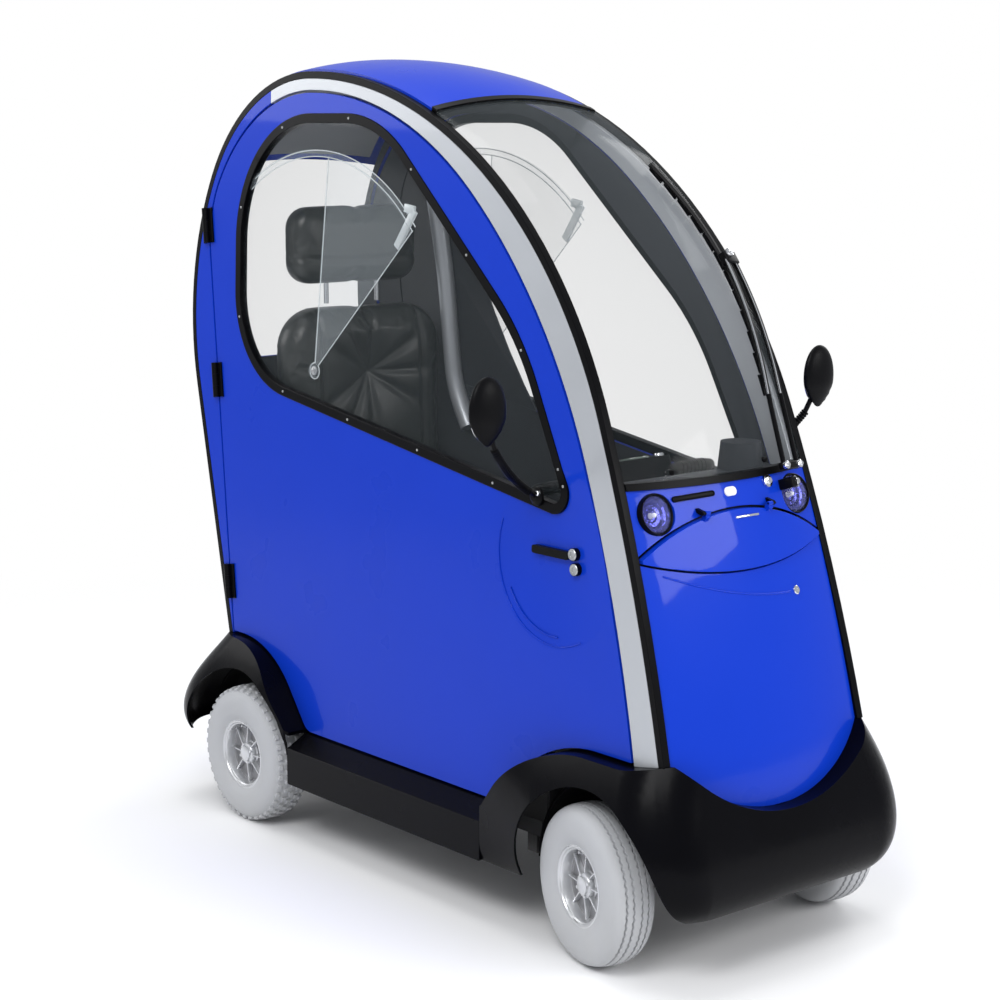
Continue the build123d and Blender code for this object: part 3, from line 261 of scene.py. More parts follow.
def bevel(piece, width, segments=2, angle=35):
    """Rounds a piece's sharp edges."""
    modifier = piece.modifiers.new("round", "BEVEL")
    modifier.width = width
    modifier.segments = segments
    modifier.limit_method = "ANGLE"
    modifier.angle_limit = radians(angle)
    apply_all(piece)
    return piece


def joined(name, parts):
    """Joins loose parts into one piece."""
    let_go()
    for part in parts:
        part.select_set(True)
    bpy.context.view_layer.objects.active = parts[0]
    if len(parts) > 1:
        bpy.ops.object.join()
    piece = bpy.context.object
    piece.name = name
    piece.data.name = name
    return piece


def copied(piece, name, mirrored=False):
    """A copy with its own mesh, mirrored to the other side if asked."""
    hold(piece)
    bpy.ops.object.duplicate(linked=False)
    twin = bpy.context.object
    twin.name = name
    twin.data.name = name
    if mirrored:
        edit(twin)
        bpy.ops.transform.mirror(constraint_axis=(True, False, False), center_override=(0, 0, 0))
        leave(outward=True)
    return twin


# degrees under which neighbouring faces are shaded as one
FLAT = 30
CRISP = 35
USUAL = 40
ROUND = 60


def finish_piece(piece, material, body, smooth=USUAL, instead=()):
    """Shades a piece, gives it its material and fixes it to its body."""
    hold(piece)
    if smooth:
        bpy.ops.object.shade_smooth_by_angle(angle=radians(smooth))
    if material is not None:
        piece.data.materials.clear()
        piece.data.materials.append(material)
    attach(piece, body)
    if instead:
        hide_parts(*instead)
    return piece


def arc_place(arcs, way, turn):
    """A point (y, z) on the cab's corner line and its outward way, at a turn from the roof top."""
    y, z = ROOF_TOP
    done = 0.0
    for radius, sweep in arcs:
        part = min(sweep, turn - done)
        out = (way * sin(radians(done)), cos(radians(done)))
        centre = (y - out[0] * radius, z - out[1] * radius)
        done = done + part
        out = (way * sin(radians(done)), cos(radians(done)))
        y, z = centre[0] + out[0] * radius, centre[1] + out[1] * radius
        if done >= turn:
            break
    return Vector((0, y, z)), Vector((0, out[0], out[1]))


def crown_at(x):
    """How far the crowned skin stands over the corner line at a place across."""
    return CROWN - CROWN * (HALF_WIDTH / CROWN_EDGE) ** 2 * (x / HALF_WIDTH) ** 2


def front_skin(x, turn, stand=0.0):
    """A point over the windscreen, cowl or nose, and the way out of it."""
    point, out = arc_place(FRONT_ARCS, -1, turn)
    slope = -2 * CROWN * (HALF_WIDTH / CROWN_EDGE) ** 2 * x / HALF_WIDTH**2
    point = point + out * (crown_at(x) + stand) + Vector((x, 0, 0))
    return point, (out + Vector((-slope, 0, 0))).normalized()


def side_skin(y, z, way=1, stand=0.0):
    """A point on the leaning side at a height, and the way out of it."""
    out = Vector((way, 0, SIDE_LEAN)).normalized()
    x = way * (HALF_WIDTH - SIDE_LEAN * (z - LEAN_FROM))
    return Vector((x, y, z)) + out * stand, out


# Shared surface effects

MILLIMETRES = 1000
COAT_ROUGHNESS = 0.04
SMOOTHEST = 0.02
LEATHER_CREASES = 15.0
ROAD_DIRT = (0.42, 0.40, 0.36)
TYRE_DIRT = (0.40, 0.39, 0.36)


def add_node(tree, kind, inputs=(), **settings):
    """Adds a shader node with its settings and the values of its inputs."""
    node = tree.nodes.new(f"ShaderNode{kind}")
    for label, value in settings.items():
        setattr(node, label, value)
    for label, value in dict(inputs).items():
        node.inputs[label].default_value = value
    return node


def wire(tree, *pairs):
    """Links pairs of sockets."""
    for start, end in pairs:
        tree.links.new(start, end)


def group_of(name, inputs, outputs, fill):
    """A shader node group with its named values, filled in when it is first asked for."""
    if name not in bpy.data.node_groups:
        tree = bpy.data.node_groups.new(name, "ShaderNodeTree")
        for label, value in inputs.items():
            socket = tree.interface.new_socket(name=label, in_out="INPUT", socket_type="NodeSocketFloat")
            socket.default_value = value
        for label in outputs:
            tree.interface.new_socket(name=label, in_out="OUTPUT", socket_type="NodeSocketFloat")
        into = tree.nodes.new("NodeGroupInput")
        out = tree.nodes.new("NodeGroupOutput")
        coords = add_node(tree, "TexCoord")
        fill(tree, into.outputs, out.inputs, coords.outputs["Object"])
    return bpy.data.node_groups[name]


def grain(tree, into, out, place):
    """Fine even grain on moulded or painted surfaces: a height, and a broad mottle around one half."""
    fine = add_node(tree, "TexNoise")
    broad = add_node(tree, "TexNoise", {"Scale": 6.0, "Detail": 3.0})
    wire(
        tree, (place, fine.inputs["Vector"]), (place, broad.inputs["Vector"]),
        (into["Scale"], fine.inputs["Scale"]), (into["Detail"], fine.inputs["Detail"]),
        (fine.outputs["Fac"], out["Height"]), (broad.outputs["Fac"], out["Mottle"]),
    )


def creases(tree, into, out, place):
    """Leather: pebbled cells under long soft creases."""
    cells = add_node(tree, "TexVoronoi", feature="DISTANCE_TO_EDGE")
    folds = add_node(tree, "TexNoise", {"Detail": 4.0, "Distortion": 1.2})
    pebble_weight = 2.2
    both = add_node(tree, "Math", {1: pebble_weight}, operation="MULTIPLY_ADD")
    wire(
        tree, (place, cells.inputs["Vector"]), (place, folds.inputs["Vector"]),
        (into["Scale"], cells.inputs["Scale"]), (into["Creases"], folds.inputs["Scale"]),
        (cells.outputs["Distance"], both.inputs[0]), (folds.outputs["Fac"], both.inputs[2]),
        (both.outputs[0], out["Height"]), (folds.outputs["Fac"], out["Mottle"]),
    )


def road_dust(tree, into, out, place):
    """Pale dust that thins out with height over the floor."""
    split = add_node(tree, "SeparateXYZ")
    fade = add_node(tree, "MapRange", {"From Min": 0.0, "To Min": 1.0, "To Max": 0.0})
    spots = add_node(tree, "TexNoise", {"Scale": 18.0, "Detail": 5.0})
    first = add_node(tree, "Math", operation="MULTIPLY")
    second = add_node(tree, "Math", operation="MULTIPLY")
    wire(
        tree, (place, split.inputs[0]), (split.outputs["Z"], fade.inputs["Value"]),
        (into["Top"], fade.inputs["From Max"]), (place, spots.inputs["Vector"]),
        (fade.outputs["Result"], first.inputs[0]), (spots.outputs["Fac"], first.inputs[1]),
        (first.outputs[0], second.inputs[0]), (into["Amount"], second.inputs[1]),
        (second.outputs[0], out["Mask"]),
    )


def put_group(tree, group, **values):
    """Places a group in a material with its own values."""
    return add_node(tree, "Group", values, node_tree=group)


def finish_of(name, color, rough, metal=0.0, coat=0.0, spread=0.12, scale=600.0, bump=0.02,
              rough_spread=0.08, dust=None, leather=False, alpha=None, specular=0.5):
    """A procedural material: a mottled colour, uneven roughness, grain in millimetres, and dust if asked."""
    label = f"{name}_finish"
    if label in bpy.data.materials:
        return bpy.data.materials[label]
    material = bpy.data.materials.new(label)
    material.use_nodes = True
    tree = material.node_tree
    shader = tree.nodes["Principled BSDF"].inputs
    for socket, value in (("Metallic", metal), ("Coat Weight", coat), ("Coat Roughness", COAT_ROUGHNESS),
                          ("Specular IOR Level", specular)):
        shader[socket].default_value = value
    if leather:
        group = group_of("leather_creases", {"Scale": 420.0, "Creases": 14.0}, ("Height", "Mottle"), creases)
        surface = put_group(tree, group, Scale=scale, Creases=LEATHER_CREASES)
    else:
        group = group_of("surface_grain", {"Scale": 600.0, "Detail": 2.0}, ("Height", "Mottle"), grain)
        surface = put_group(tree, group, Scale=scale)
    height, mottle = surface.outputs["Height"], surface.outputs["Mottle"]
    low = [max(0.0, part * (1 - spread)) for part in color]
    high = [min(1.0, part * (1 + spread)) for part in color]
    ramp = add_node(tree, "Mix", data_type="RGBA")
    ramp.inputs["A"].default_value = (*low, 1)
    ramp.inputs["B"].default_value = (*high, 1)
    wire(tree, (mottle, ramp.inputs["Factor"]))
    tint = ramp.outputs["Result"]
    if dust:
        top, amount, shade = dust
        group = group_of("road_dust", {"Top": 0.3, "Amount": 0.2}, ("Mask",), road_dust)
        mask = put_group(tree, group, Top=top, Amount=amount)
        dusty = add_node(tree, "Mix", data_type="RGBA")
        dusty.inputs["B"].default_value = (*shade, 1)
        wire(tree, (mask.outputs["Mask"], dusty.inputs["Factor"]), (tint, dusty.inputs["A"]))
        tint = dusty.outputs["Result"]
    uneven = add_node(
        tree, "MapRange",
        {"To Min": max(SMOOTHEST, rough - rough_spread), "To Max": min(1.0, rough + rough_spread)},
    )
    wire(tree, (tint, shader["Base Color"]), (mottle, uneven.inputs["Value"]),
         (uneven.outputs["Result"], shader["Roughness"]))
    if bump:
        relief = add_node(tree, "Bump", {"Strength": 1.0, "Distance": bump / MILLIMETRES})
        wire(tree, (height, relief.inputs["Height"]), (relief.outputs["Normal"], shader["Normal"]))
    if alpha:
        clear, edge = alpha
        facing = add_node(tree, "LayerWeight", {"Blend": 0.35})
        veil = add_node(tree, "MapRange", {"To Min": clear, "To Max": edge})
        wire(tree, (facing.outputs["Facing"], veil.inputs["Value"]),
             (veil.outputs["Result"], shader["Alpha"]))
    return material


def finishes(look):
    """Every finish of the scooter by name, from the chosen colours."""
    paint = tuple(look.body_color[:3])
    silver = tuple(look.frame_color[:3])
    tyre = tuple(look.tyre_color[:3])
    # name: colour, roughness, and what else sets the finish apart
    rows = {
        "blue_paint": (paint, 0.30, dict(coat=0.22, spread=0.03, scale=900, bump=0.002, specular=0.05)),
        "silver_paint": (silver, 0.32, dict(metal=0.35, coat=0.20, spread=0.05, scale=2400, bump=0.01)),
        "black_moulding": ((0.0012, 0.0012, 0.0022), 0.26, dict(
            spread=0.3, scale=1500, rough_spread=0.05, dust=(0.30, 0.004, ROAD_DIRT), specular=0.075)),
        "black_plastic": ((0.0025, 0.0025, 0.0032), 0.36, dict(
            spread=0.3, scale=1300, bump=0.04, specular=0.09)),
        "seal_rubber": ((0.0015, 0.0015, 0.0022), 0.32, dict(
            spread=0.3, scale=900, bump=0.03, specular=0.08)),
        "clear_pane": ((0.10, 0.12, 0.13), 0.03, dict(
            spread=0.02, scale=40, bump=0, rough_spread=0.01, alpha=(0.02, 0.22), specular=0.6)),
        "vent_clear": ((0.50, 0.56, 0.60), 0.03, dict(
            spread=0.02, scale=40, bump=0, rough_spread=0.01, alpha=(0.05, 0.20), specular=0.6)),
        "acrylic_edge": ((0.72, 0.78, 0.80), 0.12, dict(
            spread=0.05, scale=300, bump=0.01, alpha=(0.45, 0.85), specular=0.8)),
        "red_lens": ((0.42, 0.008, 0.010), 0.10, dict(coat=0.8, spread=0.1, scale=300, bump=0.01)),
        "white_lens": ((0.86, 0.87, 0.86), 0.14, dict(coat=0.6, spread=0.03, scale=300, bump=0.01)),
        "lamp_lens": ((0.16, 0.18, 0.42), 0.03, dict(
            spread=0.03, scale=60, bump=0, rough_spread=0.01, coat=0.6, alpha=(0.04, 0.35), specular=0.8)),
        "lamp_bowl": ((0.075, 0.080, 0.40), 0.12, dict(metal=0.85, spread=0.85, scale=130, bump=0.8)),
        "lamp_bulb": ((0.9, 0.92, 1.0), 0.10, dict(coat=1.0, spread=0.02, scale=90, bump=0.05)),
        "chassis_paint": ((0.018, 0.018, 0.020), 0.45, dict(
            spread=0.25, scale=500, bump=0.06, dust=(0.25, 0.25, ROAD_DIRT))),
        "floor_mat": ((0.030, 0.030, 0.033), 0.75, dict(spread=0.25, scale=700, bump=0.2)),
        "black_leather": ((0.016, 0.018, 0.017), 0.34, dict(
            spread=0.35, scale=900, bump=0.06, leather=True, rough_spread=0.1)),
        "dark_trim": ((0.030, 0.032, 0.038), 0.55, dict(spread=0.25, scale=700, bump=0.12, specular=0.25)),
        "grey_lining": ((0.33, 0.34, 0.36), 0.80, dict(spread=0.08, scale=1600, bump=0.15)),
        "bright_metal": ((0.72, 0.73, 0.75), 0.14, dict(
            metal=1.0, spread=0.05, scale=900, bump=0.01, rough_spread=0.05)),
        "dull_metal": ((0.42, 0.43, 0.44), 0.38, dict(
            metal=1.0, scale=800, bump=0.04, dust=(0.25, 0.2, ROAD_DIRT))),
        "silver_rim": ((0.62, 0.63, 0.65), 0.30, dict(
            metal=0.75, coat=0.3, spread=0.06, scale=1500, dust=(0.34, 0.18, ROAD_DIRT))),
        "rim_well": ((0.25, 0.25, 0.26), 0.42, dict(metal=0.6, spread=0.15, scale=900, bump=0.04)),
        "grey_tyre": (tyre, 0.72, dict(
            spread=0.10, scale=800, bump=0.10, dust=(0.33, 0.35, TYRE_DIRT), specular=0.3)),
        "mirror_glass": ((0.85, 0.87, 0.88), 0.02, dict(
            metal=1.0, spread=0.02, scale=60, bump=0, rough_spread=0.01)),
        "display": ((0.10, 0.13, 0.11), 0.10, dict(coat=1.0, spread=0.15, scale=200, bump=0)),
    }
    return {name: finish_of(name, color, rough, **more) for name, (color, rough, more) in rows.items()}


# Sizes and colours that a user would change


class ScooterLook(bpy.types.PropertyGroup):
    """Colours and sizes of the scooter's dressing."""

    body_color: bpy.props.FloatVectorProperty(
        name="Body paint", description="Colour of the doors, nose, lid and roof", subtype="COLOR",
        size=4, min=0, max=1, default=(0.0035, 0.0360, 0.4700, 1),
    )
    frame_color: bpy.props.FloatVectorProperty(
        name="Frame paint", description="Colour of the two side hoops", subtype="COLOR",
        size=4, min=0, max=1, default=(0.44, 0.46, 0.49, 1),
    )
    tyre_color: bpy.props.FloatVectorProperty(
        name="Tyre", description="Colour of the tyres", subtype="COLOR",
        size=4, min=0, max=1, default=(0.45, 0.46, 0.48, 1),
    )
    edge_radius: bpy.props.FloatProperty(
        name="Edge radius", description="Rounding of the panels' edges", subtype="DISTANCE", unit="LENGTH",
        default=0.0012, min=0,
    )
    tread_depth: bpy.props.FloatProperty(
        name="Tread depth", description="Depth of the tyres' grooves", subtype="DISTANCE", unit="LENGTH",
        default=0.005, min=0,
    )
    rib_count: bpy.props.IntProperty(
        name="Wheel ribs", description="Ribs between hub and rim of a wheel", default=8, min=3,
    )


def colours():
    """The finishes made from the scene's own settings."""
    return finishes(bpy.context.scene.scooter_look)


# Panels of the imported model

# finish, edge radius in millimetres or 0, nodes
DRESS = (
    ("blue_paint", 1.5, ("nose_panel", "cowl_panel", "nose_lid", "roof_panel", "rear_wall", "rear_quarters",
                         "door_left", "door_right")),
    ("silver_paint", 2.5, ("side_arches",)),
    ("black_moulding", 2.5, ("front_moulding", "rear_moulding", "sills")),
    ("seal_rubber", 1.0, ("screen_seal",)),
    ("seal_rubber", 1.5, ("corner_seals", "window_seal_left", "window_seal_right")),
    ("seal_rubber", 2.0, ("tiller_boss",)),
    ("clear_pane", 0, ("windscreen", "rear_window", "window_pane_left", "window_pane_right")),
    ("vent_clear", 0, ("vent_pane_left", "vent_pane_right")),
    ("floor_mat", 1.0, ("floor_tub",)),
    ("chassis_paint", 1.0, ("knuckle_left", "knuckle_right", "seat_frame")),
    ("chassis_paint", 1.5, ("chassis_frame", "front_axle_beam")),
    ("chassis_paint", 2.0, ("rear_transaxle",)),
    ("dull_metal", 0.5, ("tie_rod",)),
    ("dark_trim", 3.0, ("battery_box", "dashboard")),
    ("bright_metal", 0.3, ("headrest_posts",)),
    ("black_leather", 1.0, ("seat_cushion", "seat_back", "headrest")),
    ("lamp_lens", 0.5, ("headlamps",)),
    ("red_lens", 1.0, ("tail_lamps",)),
    ("black_plastic", 0.5, ("lid_hinges", "hinge_leaves", "wiper")),
    ("black_plastic", 1.0, ("wheelhouses", "tiller_column", "door_fittings_left", "door_fittings_right",
                            "mirror_left", "mirror_right")),
    ("black_plastic", 1.5, ("tiller_head",)),
    ("grey_tyre", 0, tuple(f"tyre_{wheel[0]}" for wheel in WHEELS)),
    ("silver_rim", 0.5, tuple(f"rim_{wheel[0]}" for wheel in WHEELS)),
)
USUAL_EDGE_RADIUS = 0.0012
SHARP_EDGE = 40
NORMAL_WEIGHT = 60


class SCOOTER_OT_panels(bpy.types.Operator):
    """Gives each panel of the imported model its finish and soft, rounded edges"""

    bl_idname = "scooter.panels"
    bl_label = "Panels"

    def execute(self, context):
        stock = colours()
        scale = context.scene.scooter_look.edge_radius / USUAL_EDGE_RADIUS
        dress = {name: (finish, radius) for finish, radius, names in DRESS for name in names}
        for name, node in frame["nodes"].items():
            finish, radius = dress[name]
            if not node.material_slots:
                raise RuntimeError(f"{name} has no material slot")
            for slot in node.material_slots:
                slot.material = stock[finish]
            weld = node.modifiers.new("weld", "WELD")
            weld.merge_threshold = WELD
            if radius:
                edge = node.modifiers.new("edge", "BEVEL")
                edge.width = radius * scale / MILLIMETRES
                edge.segments = 2
                edge.limit_method = "ANGLE"
                edge.angle_limit = radians(SHARP_EDGE)
                edge.use_clamp_overlap = True
            even = node.modifiers.new("even", "WEIGHTED_NORMAL")
            even.keep_sharp = True
            even.weight = NORMAL_WEIGHT
        return {"FINISHED"}


# Wheels, modelled about the Z axis with outlines of (radius, height)

# the side of either tyre, from the bead to its widest
TYRE_SIDE = ((0.0785, 0.0395), (0.0850, 0.0430), (0.0885, 0.0440), (0.0915, 0.0462), (0.1050, 0.0488))
RIBBED_STEPS = 128
RIBBED_GROOVES = ((0.0055, 0.0135), (0.0205, 0.0285))
GROOVES_FROM = 0.150
ZIGZAG = 0.0013
KNOBBLY_STEPS = 96
KNOBS_ROUND = 40
TREAD_SMOOTH = 32
KNOB_EDGE = 0.0009
KNOB_TOP_SHARES = (1, 0.78, 0.80)
# height across, lean outward in degrees, turn offset share, length along the tread, width, top radius
KNOB_ROWS = (
    (0.0, 0, 0.0, 0.0150, 0.0130, 0.1650),
    (0.0172, 3, 0.5, 0.0140, 0.0120, 0.1646),
    (-0.0172, -3, 0.5, 0.0140, 0.0120, 0.1646),
    (0.0345, 20, 0.0, 0.0150, 0.0125, 0.1612),
    (-0.0345, -20, 0.0, 0.0150, 0.0125, 0.1612),
)
RIM_OUTLINE = (
    (0, 0.0365), (0.0120, 0.0360), (0.0180, 0.0340), (0.0190, 0.0300), (0.0250, 0.0290), (0.0262, 0.0270),
    (0.0270, 0.0175), (0.0300, 0.0150), (0.0655, 0.0150), (0.0695, 0.0175), (0.0712, 0.0240),
    (0.0720, 0.0330), (0.0738, 0.0372), (0.0765, 0.0388), (0.0780, 0.0415), (0.0812, 0.0430),
    (0.0842, 0.0422), (0.0850, 0.0400), (0.0815, 0.0385), (0.0795, 0.0300), (0.0795, -0.0300),
    (0.0815, -0.0385), (0.0850, -0.0400), (0.0835, -0.0428), (0.0785, -0.0410), (0.0748, -0.0300),
    (0.0748, 0.0040), (0.0700, 0.0095), (0.0300, 0.0095), (0.0262, 0.0060), (0.0262, -0.0240),
    (0.0116, -0.0240), (0.0116, 0.0315), (0, 0.0315),
)
# the dished web of the rim, between these radii and below this height
WEB_RADII = (0.0290, 0.0700)
WEB_TOP = 0.0182
RIB_SIZE = (0.049, 0.0042, 0.0150)
RIB_DROP = 0.0045
RIB_TOP_SHARES = (1, 0.7, 1)
RIB_EDGE = 0.0007
RIB_PLACE = (0.0480, 0, 0.0205)
HUB_NUTS = 4
NUT_OUTLINE = ((0, 0.0070), (0.0030, 0.0068), (0.0042, 0.0050), (0.0042, 0), (0, 0))
NUT_CIRCLE = 0.0222
NUT_HEIGHT = 0.0268
NUT_TURN = 0.4
VALVE_OUTLINE = ((0, 0.0190), (0.0028, 0.0185), (0.0032, 0.0120), (0.0042, 0.0100), (0.0042, 0))
VALVE_PLACE = (0.0625, 0.0120, 0.0150)
VALVE_TILT = 12


def tyre_of(name, half, steps):
    """Turns half of a tyre's outline together with its mirror image."""
    outline = half + [(radius, -height) for radius, height in reversed(half)] + half[:1]
    return turned(name, outline, steps)


def ribbed_tyre(name, depth):
    """A tyre with four zigzag grooves."""
    tyre = tyre_of(name, [
        *TYRE_SIDE, (0.1250, 0.0500), (0.1400, 0.0490), (0.1490, 0.0462), (0.1550, 0.0420), (0.1592, 0.0365),
        (0.1612, 0.0310), (0.1622, 0.0272), (0.1624 - depth, 0.0262), (0.1624 - depth, 0.0232),
        (0.1634, 0.0222), (0.1642, 0.0160), (0.1645, 0.0122), (0.1647 - depth, 0.0112),
        (0.1647 - depth, 0.0080), (0.1649, 0.0070), (0.1650, 0.0025),
    ], RIBBED_STEPS)
    step = 2 * pi / RIBBED_STEPS
    for odd, lean in ((1, -1), (0, 1)):

        def in_groove(place, normal):
            wanted = round(atan2(place.y, place.x) / step) % 2 == odd
            in_tread = sqrt(place.x**2 + place.y**2) > GROOVES_FROM
            return wanted and in_tread and any(low < abs(place.z) < high for low, high in RIBBED_GROOVES)

        pick(tyre, "VERT", in_groove)
        bpy.ops.transform.translate(value=(0, 0, lean * ZIGZAG))
    let_go()
    return tyre


def knobbly_tyre(name, depth):
    """A tyre with five rows of blocks."""
    floor = 0.1648 - depth
    tyre = tyre_of(name, [
        *TYRE_SIDE, (0.1250, 0.0498), (0.1400, 0.0480), (0.1480, 0.0445), (0.1535, 0.0390),
        (floor - 0.0015, 0.0280), (floor, 0.0140), (floor, 0.0020),
    ], KNOBBLY_STEPS)
    parts = [tyre]
    for height, lean, offset, length, width, top in KNOB_ROWS:
        knob = block("knob", (depth * 2, length, width))
        pick(knob, "FACE", lambda place, normal: normal.x > 0.9)
        bpy.ops.transform.resize(value=KNOB_TOP_SHARES)
        bpy.ops.object.mode_set(mode="OBJECT")
        bevel(knob, KNOB_EDGE, 1)
        place(knob, (top - depth, 0, height), Matrix.Rotation(radians(-lean), 3, "Y"))
        place(knob, turn=Matrix.Rotation(2 * pi / KNOBS_ROUND * offset, 3, "Z"))
        parts.append(repeated(knob, KNOBS_ROUND))
    return joined(name, parts)


def ribbed_rim(name, ribs):
    """A deep dished rim with thin ribs, a hub and a hub cap."""
    rim = turned(name, RIM_OUTLINE, steps=64)
    rib = block("rib", RIB_SIZE)
    pick(rib, "VERT", lambda place, normal: place.z > 0 and place.x > 0)
    bpy.ops.transform.translate(value=(0, 0, -RIB_DROP))
    pick(rib, "FACE", lambda place, normal: normal.z > 0.5)
    bpy.ops.transform.resize(value=RIB_TOP_SHARES)
    bpy.ops.object.mode_set(mode="OBJECT")
    bevel(rib, RIB_EDGE, 2)
    place(rib, RIB_PLACE)
    parts = [rim, repeated(rib, ribs)]
    for index in range(HUB_NUTS):
        nut = turned("nut", NUT_OUTLINE, steps=6)
        angle = index * 2 * pi / HUB_NUTS + NUT_TURN
        parts.append(place(nut, (NUT_CIRCLE * cos(angle), NUT_CIRCLE * sin(angle), NUT_HEIGHT)))
    valve = turned("valve", VALVE_OUTLINE, steps=12)
    parts.append(place(valve, VALVE_PLACE, Matrix.Rotation(radians(VALVE_TILT), 3, "Y")))
    return joined(name, parts)


class SCOOTER_OT_wheels(bpy.types.Operator):
    """Models the four tyres with their treads and the ribbed rims"""

    bl_idname = "scooter.wheels"
    bl_label = "Wheels"

    def execute(self, context):
        stock = colours()
        look = context.scene.scooter_look
        for name, x, y, turn, way, tread in WHEELS:
            axle = Vector((cos(radians(turn)), sin(radians(turn)), 0)) * way
            make = ribbed_tyre if tread == "ribbed" else knobbly_tyre
            tyre = make(f"tread_{name}", look.tread_depth)
            place(tyre, (x, y, HUB_Z), aim(axle, (0, 0, 1)))
            finish_piece(tyre, stock["grey_tyre"], f"wheel_{name}", TREAD_SMOOTH,
                         [f"tyre_{name}"])
            rim = ribbed_rim(f"wheel_rim_{name}", look.rib_count)
            rim.data.materials.append(stock["silver_rim"])
            rim.data.materials.append(stock["rim_well"])
            low, high = WEB_RADII
            pick(rim, "FACE", lambda place, normal: low < sqrt(place.x**2 + place.y**2) < high
                 and place.z < WEB_TOP and abs(normal.z) > 0.5)
            rim.active_material_index = 1
            bpy.ops.object.material_slot_assign()
            place(rim, (x, y, HUB_Z), aim(axle, (0, 0, 1)))
            finish_piece(rim, None, f"wheel_{name}", FLAT, [f"rim_{name}"])
        return {"FINISHED"}


# Lamps, each part turned about its lamp's axis from an outline of (radius, height)

HEADLAMP_PARTS = (
    # name, finish, slot, smoothing angle, steps round, outline
    ("bezel", "black_plastic", "black_plastic", USUAL, 64, (
        (0.0375, -0.0020), (0.0382, 0.0040), (0.0392, 0.0062), (0.0404, 0.0068), (0.0418, 0.0060),
        (0.0424, 0.0036), (0.0424, -0.0160), (0.0390, -0.0170), (0.0375, -0.0120), (0.0375, -0.0020))),
    ("bowl", "lamp_bowl", "bright_metal", 0, 14, (
        (0.0374, 0.0000), (0.0330, -0.0060), (0.0270, -0.0070), (0.0225, -0.0120), (0.0150, -0.0125),
        (0.0120, -0.0155), (0.0070, -0.0160), (0.0070, -0.0172), (0.0240, -0.0168), (0.0376, -0.0100),
        (0.0374, 0.0000))),
    ("bulb", "lamp_bulb", "clear_pane", ROUND, 24, (
        (0, 0.0010), (0.0030, 0.0002), (0.0048, -0.0025), (0.0052, -0.0060), (0.0042, -0.0100),
        (0.0060, -0.0120), (0.0066, -0.0158), (0, -0.0160))),
    ("lens", "lamp_lens", "clear_pane", ROUND, 48, (
        (0, 0.0105), (0.0100, 0.0101), (0.0200, 0.0088), (0.0300, 0.0062), (0.0374, 0.0030),
        (0.0374, 0.0012), (0.0300, 0.0043), (0.0200, 0.0069), (0.0100, 0.0082), (0, 0.0086))),
)
TAIL_RINGS = 5
TAIL_RING_PITCH = 0.0052
TAIL_RING_FALL = 0.0004
TAIL_RING_PROFILE = ((0, 0.0118), (0.0010, 0.0104), (0.0020, 0.0117))


def tail_lens_outline():
    """A nearly flat red lens with shallow rings moulded in its face."""
    outline = [(0, 0.0118)]
    for index in range(TAIL_RINGS):
        radius = 0.006 + TAIL_RING_PITCH * index
        fall = TAIL_RING_FALL * index
        outline += [(radius + out, height - fall) for out, height in TAIL_RING_PROFILE]
    return outline + [(0.0328, 0.0090), (0.0328, -0.0100), (0, -0.0100)]


TAIL_LAMP_PARTS = (
    ("ring", "black_plastic", "black_plastic", USUAL, 64, (
        (0.0330, 0.0060), (0.0335, 0.0120), (0.0355, 0.0128), (0.0372, 0.0105), (0.0376, 0.0050),
        (0.0376, -0.0120), (0.0330, -0.0120), (0.0330, 0.0060))),
    ("lens", "red_lens", "red_lens", FLAT, 64, tail_lens_outline()),
)
LAMPS = (
    # name, node that it replaces, tilt in degrees, forward or back, the left one's place, parts
    ("headlamp", "headlamps", 18, -1, (0.198, -0.695, 0.911), HEADLAMP_PARTS),
    ("tail_lamp", "tail_lamps", 14.5, 1, (0.196, 0.826, 0.760), TAIL_LAMP_PARTS),
)


class SCOOTER_OT_lamps(bpy.types.Operator):
    """Models the headlamps and tail lamps with bezel, reflector, bulb and lens"""

    bl_idname = "scooter.lamps"
    bl_label = "Lamps"

    def execute(self, context):
        stock = colours()
        for side, across in SIDES:
            for lamp, node, tilt, way, (x, y, z), parts in LAMPS:
                axis = Vector((0, cos(radians(tilt)), -sin(radians(tilt)))) * way
                for index, (name, finish, slot, smooth, steps, outline) in enumerate(parts):
                    piece = turned(f"{lamp}_{name}_{side}", outline, steps)
                    place(piece, (across * x, y, z), aim(axis))
                    instead = [node] if side == "left" and index == 0 else []
                    finish_piece(piece, stock[finish], "body", smooth, instead)
        return {"FINISHED"}


# Mirrors, modelled on the left door and mirrored to the right one

MIRROR_FOOT = (-0.431, 0.922)
FOOT_STAND = 0.004
FOOT_OUTLINE = (
    (0, 0.0120), (0.0090, 0.0118), (0.0110, 0.0100), (0.0150, 0.0085), (0.0190, 0.0050), (0.0198, 0.0010),
    (0.0198, 0.0), (0, 0.0),
)
NECK_ROUTE = (
    (0.300, -0.436, 0.935), (0.345, -0.456, 0.955), (0.400, -0.480, 0.985), (0.438, -0.494, 1.026),
    (0.455, -0.500, 1.058), (0.466, -0.505, 1.086),
)
NECK_RADIUS = 0.0058
NECK_RINGS = 26
# start, control point and end of the curve that the neck's rings stand on
RING_CURVE = ((0.312, -0.441, 0.938), (0.400, -0.479, 0.984), (0.446, -0.497, 1.040))
RING_OUTLINE = ((0.0050, 0.0030), (0.0084, 0.0018), (0.0090, 0), (0.0084, -0.0018), (0.0050, -0.0030))
HEAD_CENTRE = (0.474, -0.510, 1.120)
HEAD_HALVES = (0.0455, 0.0170, 0.0685)
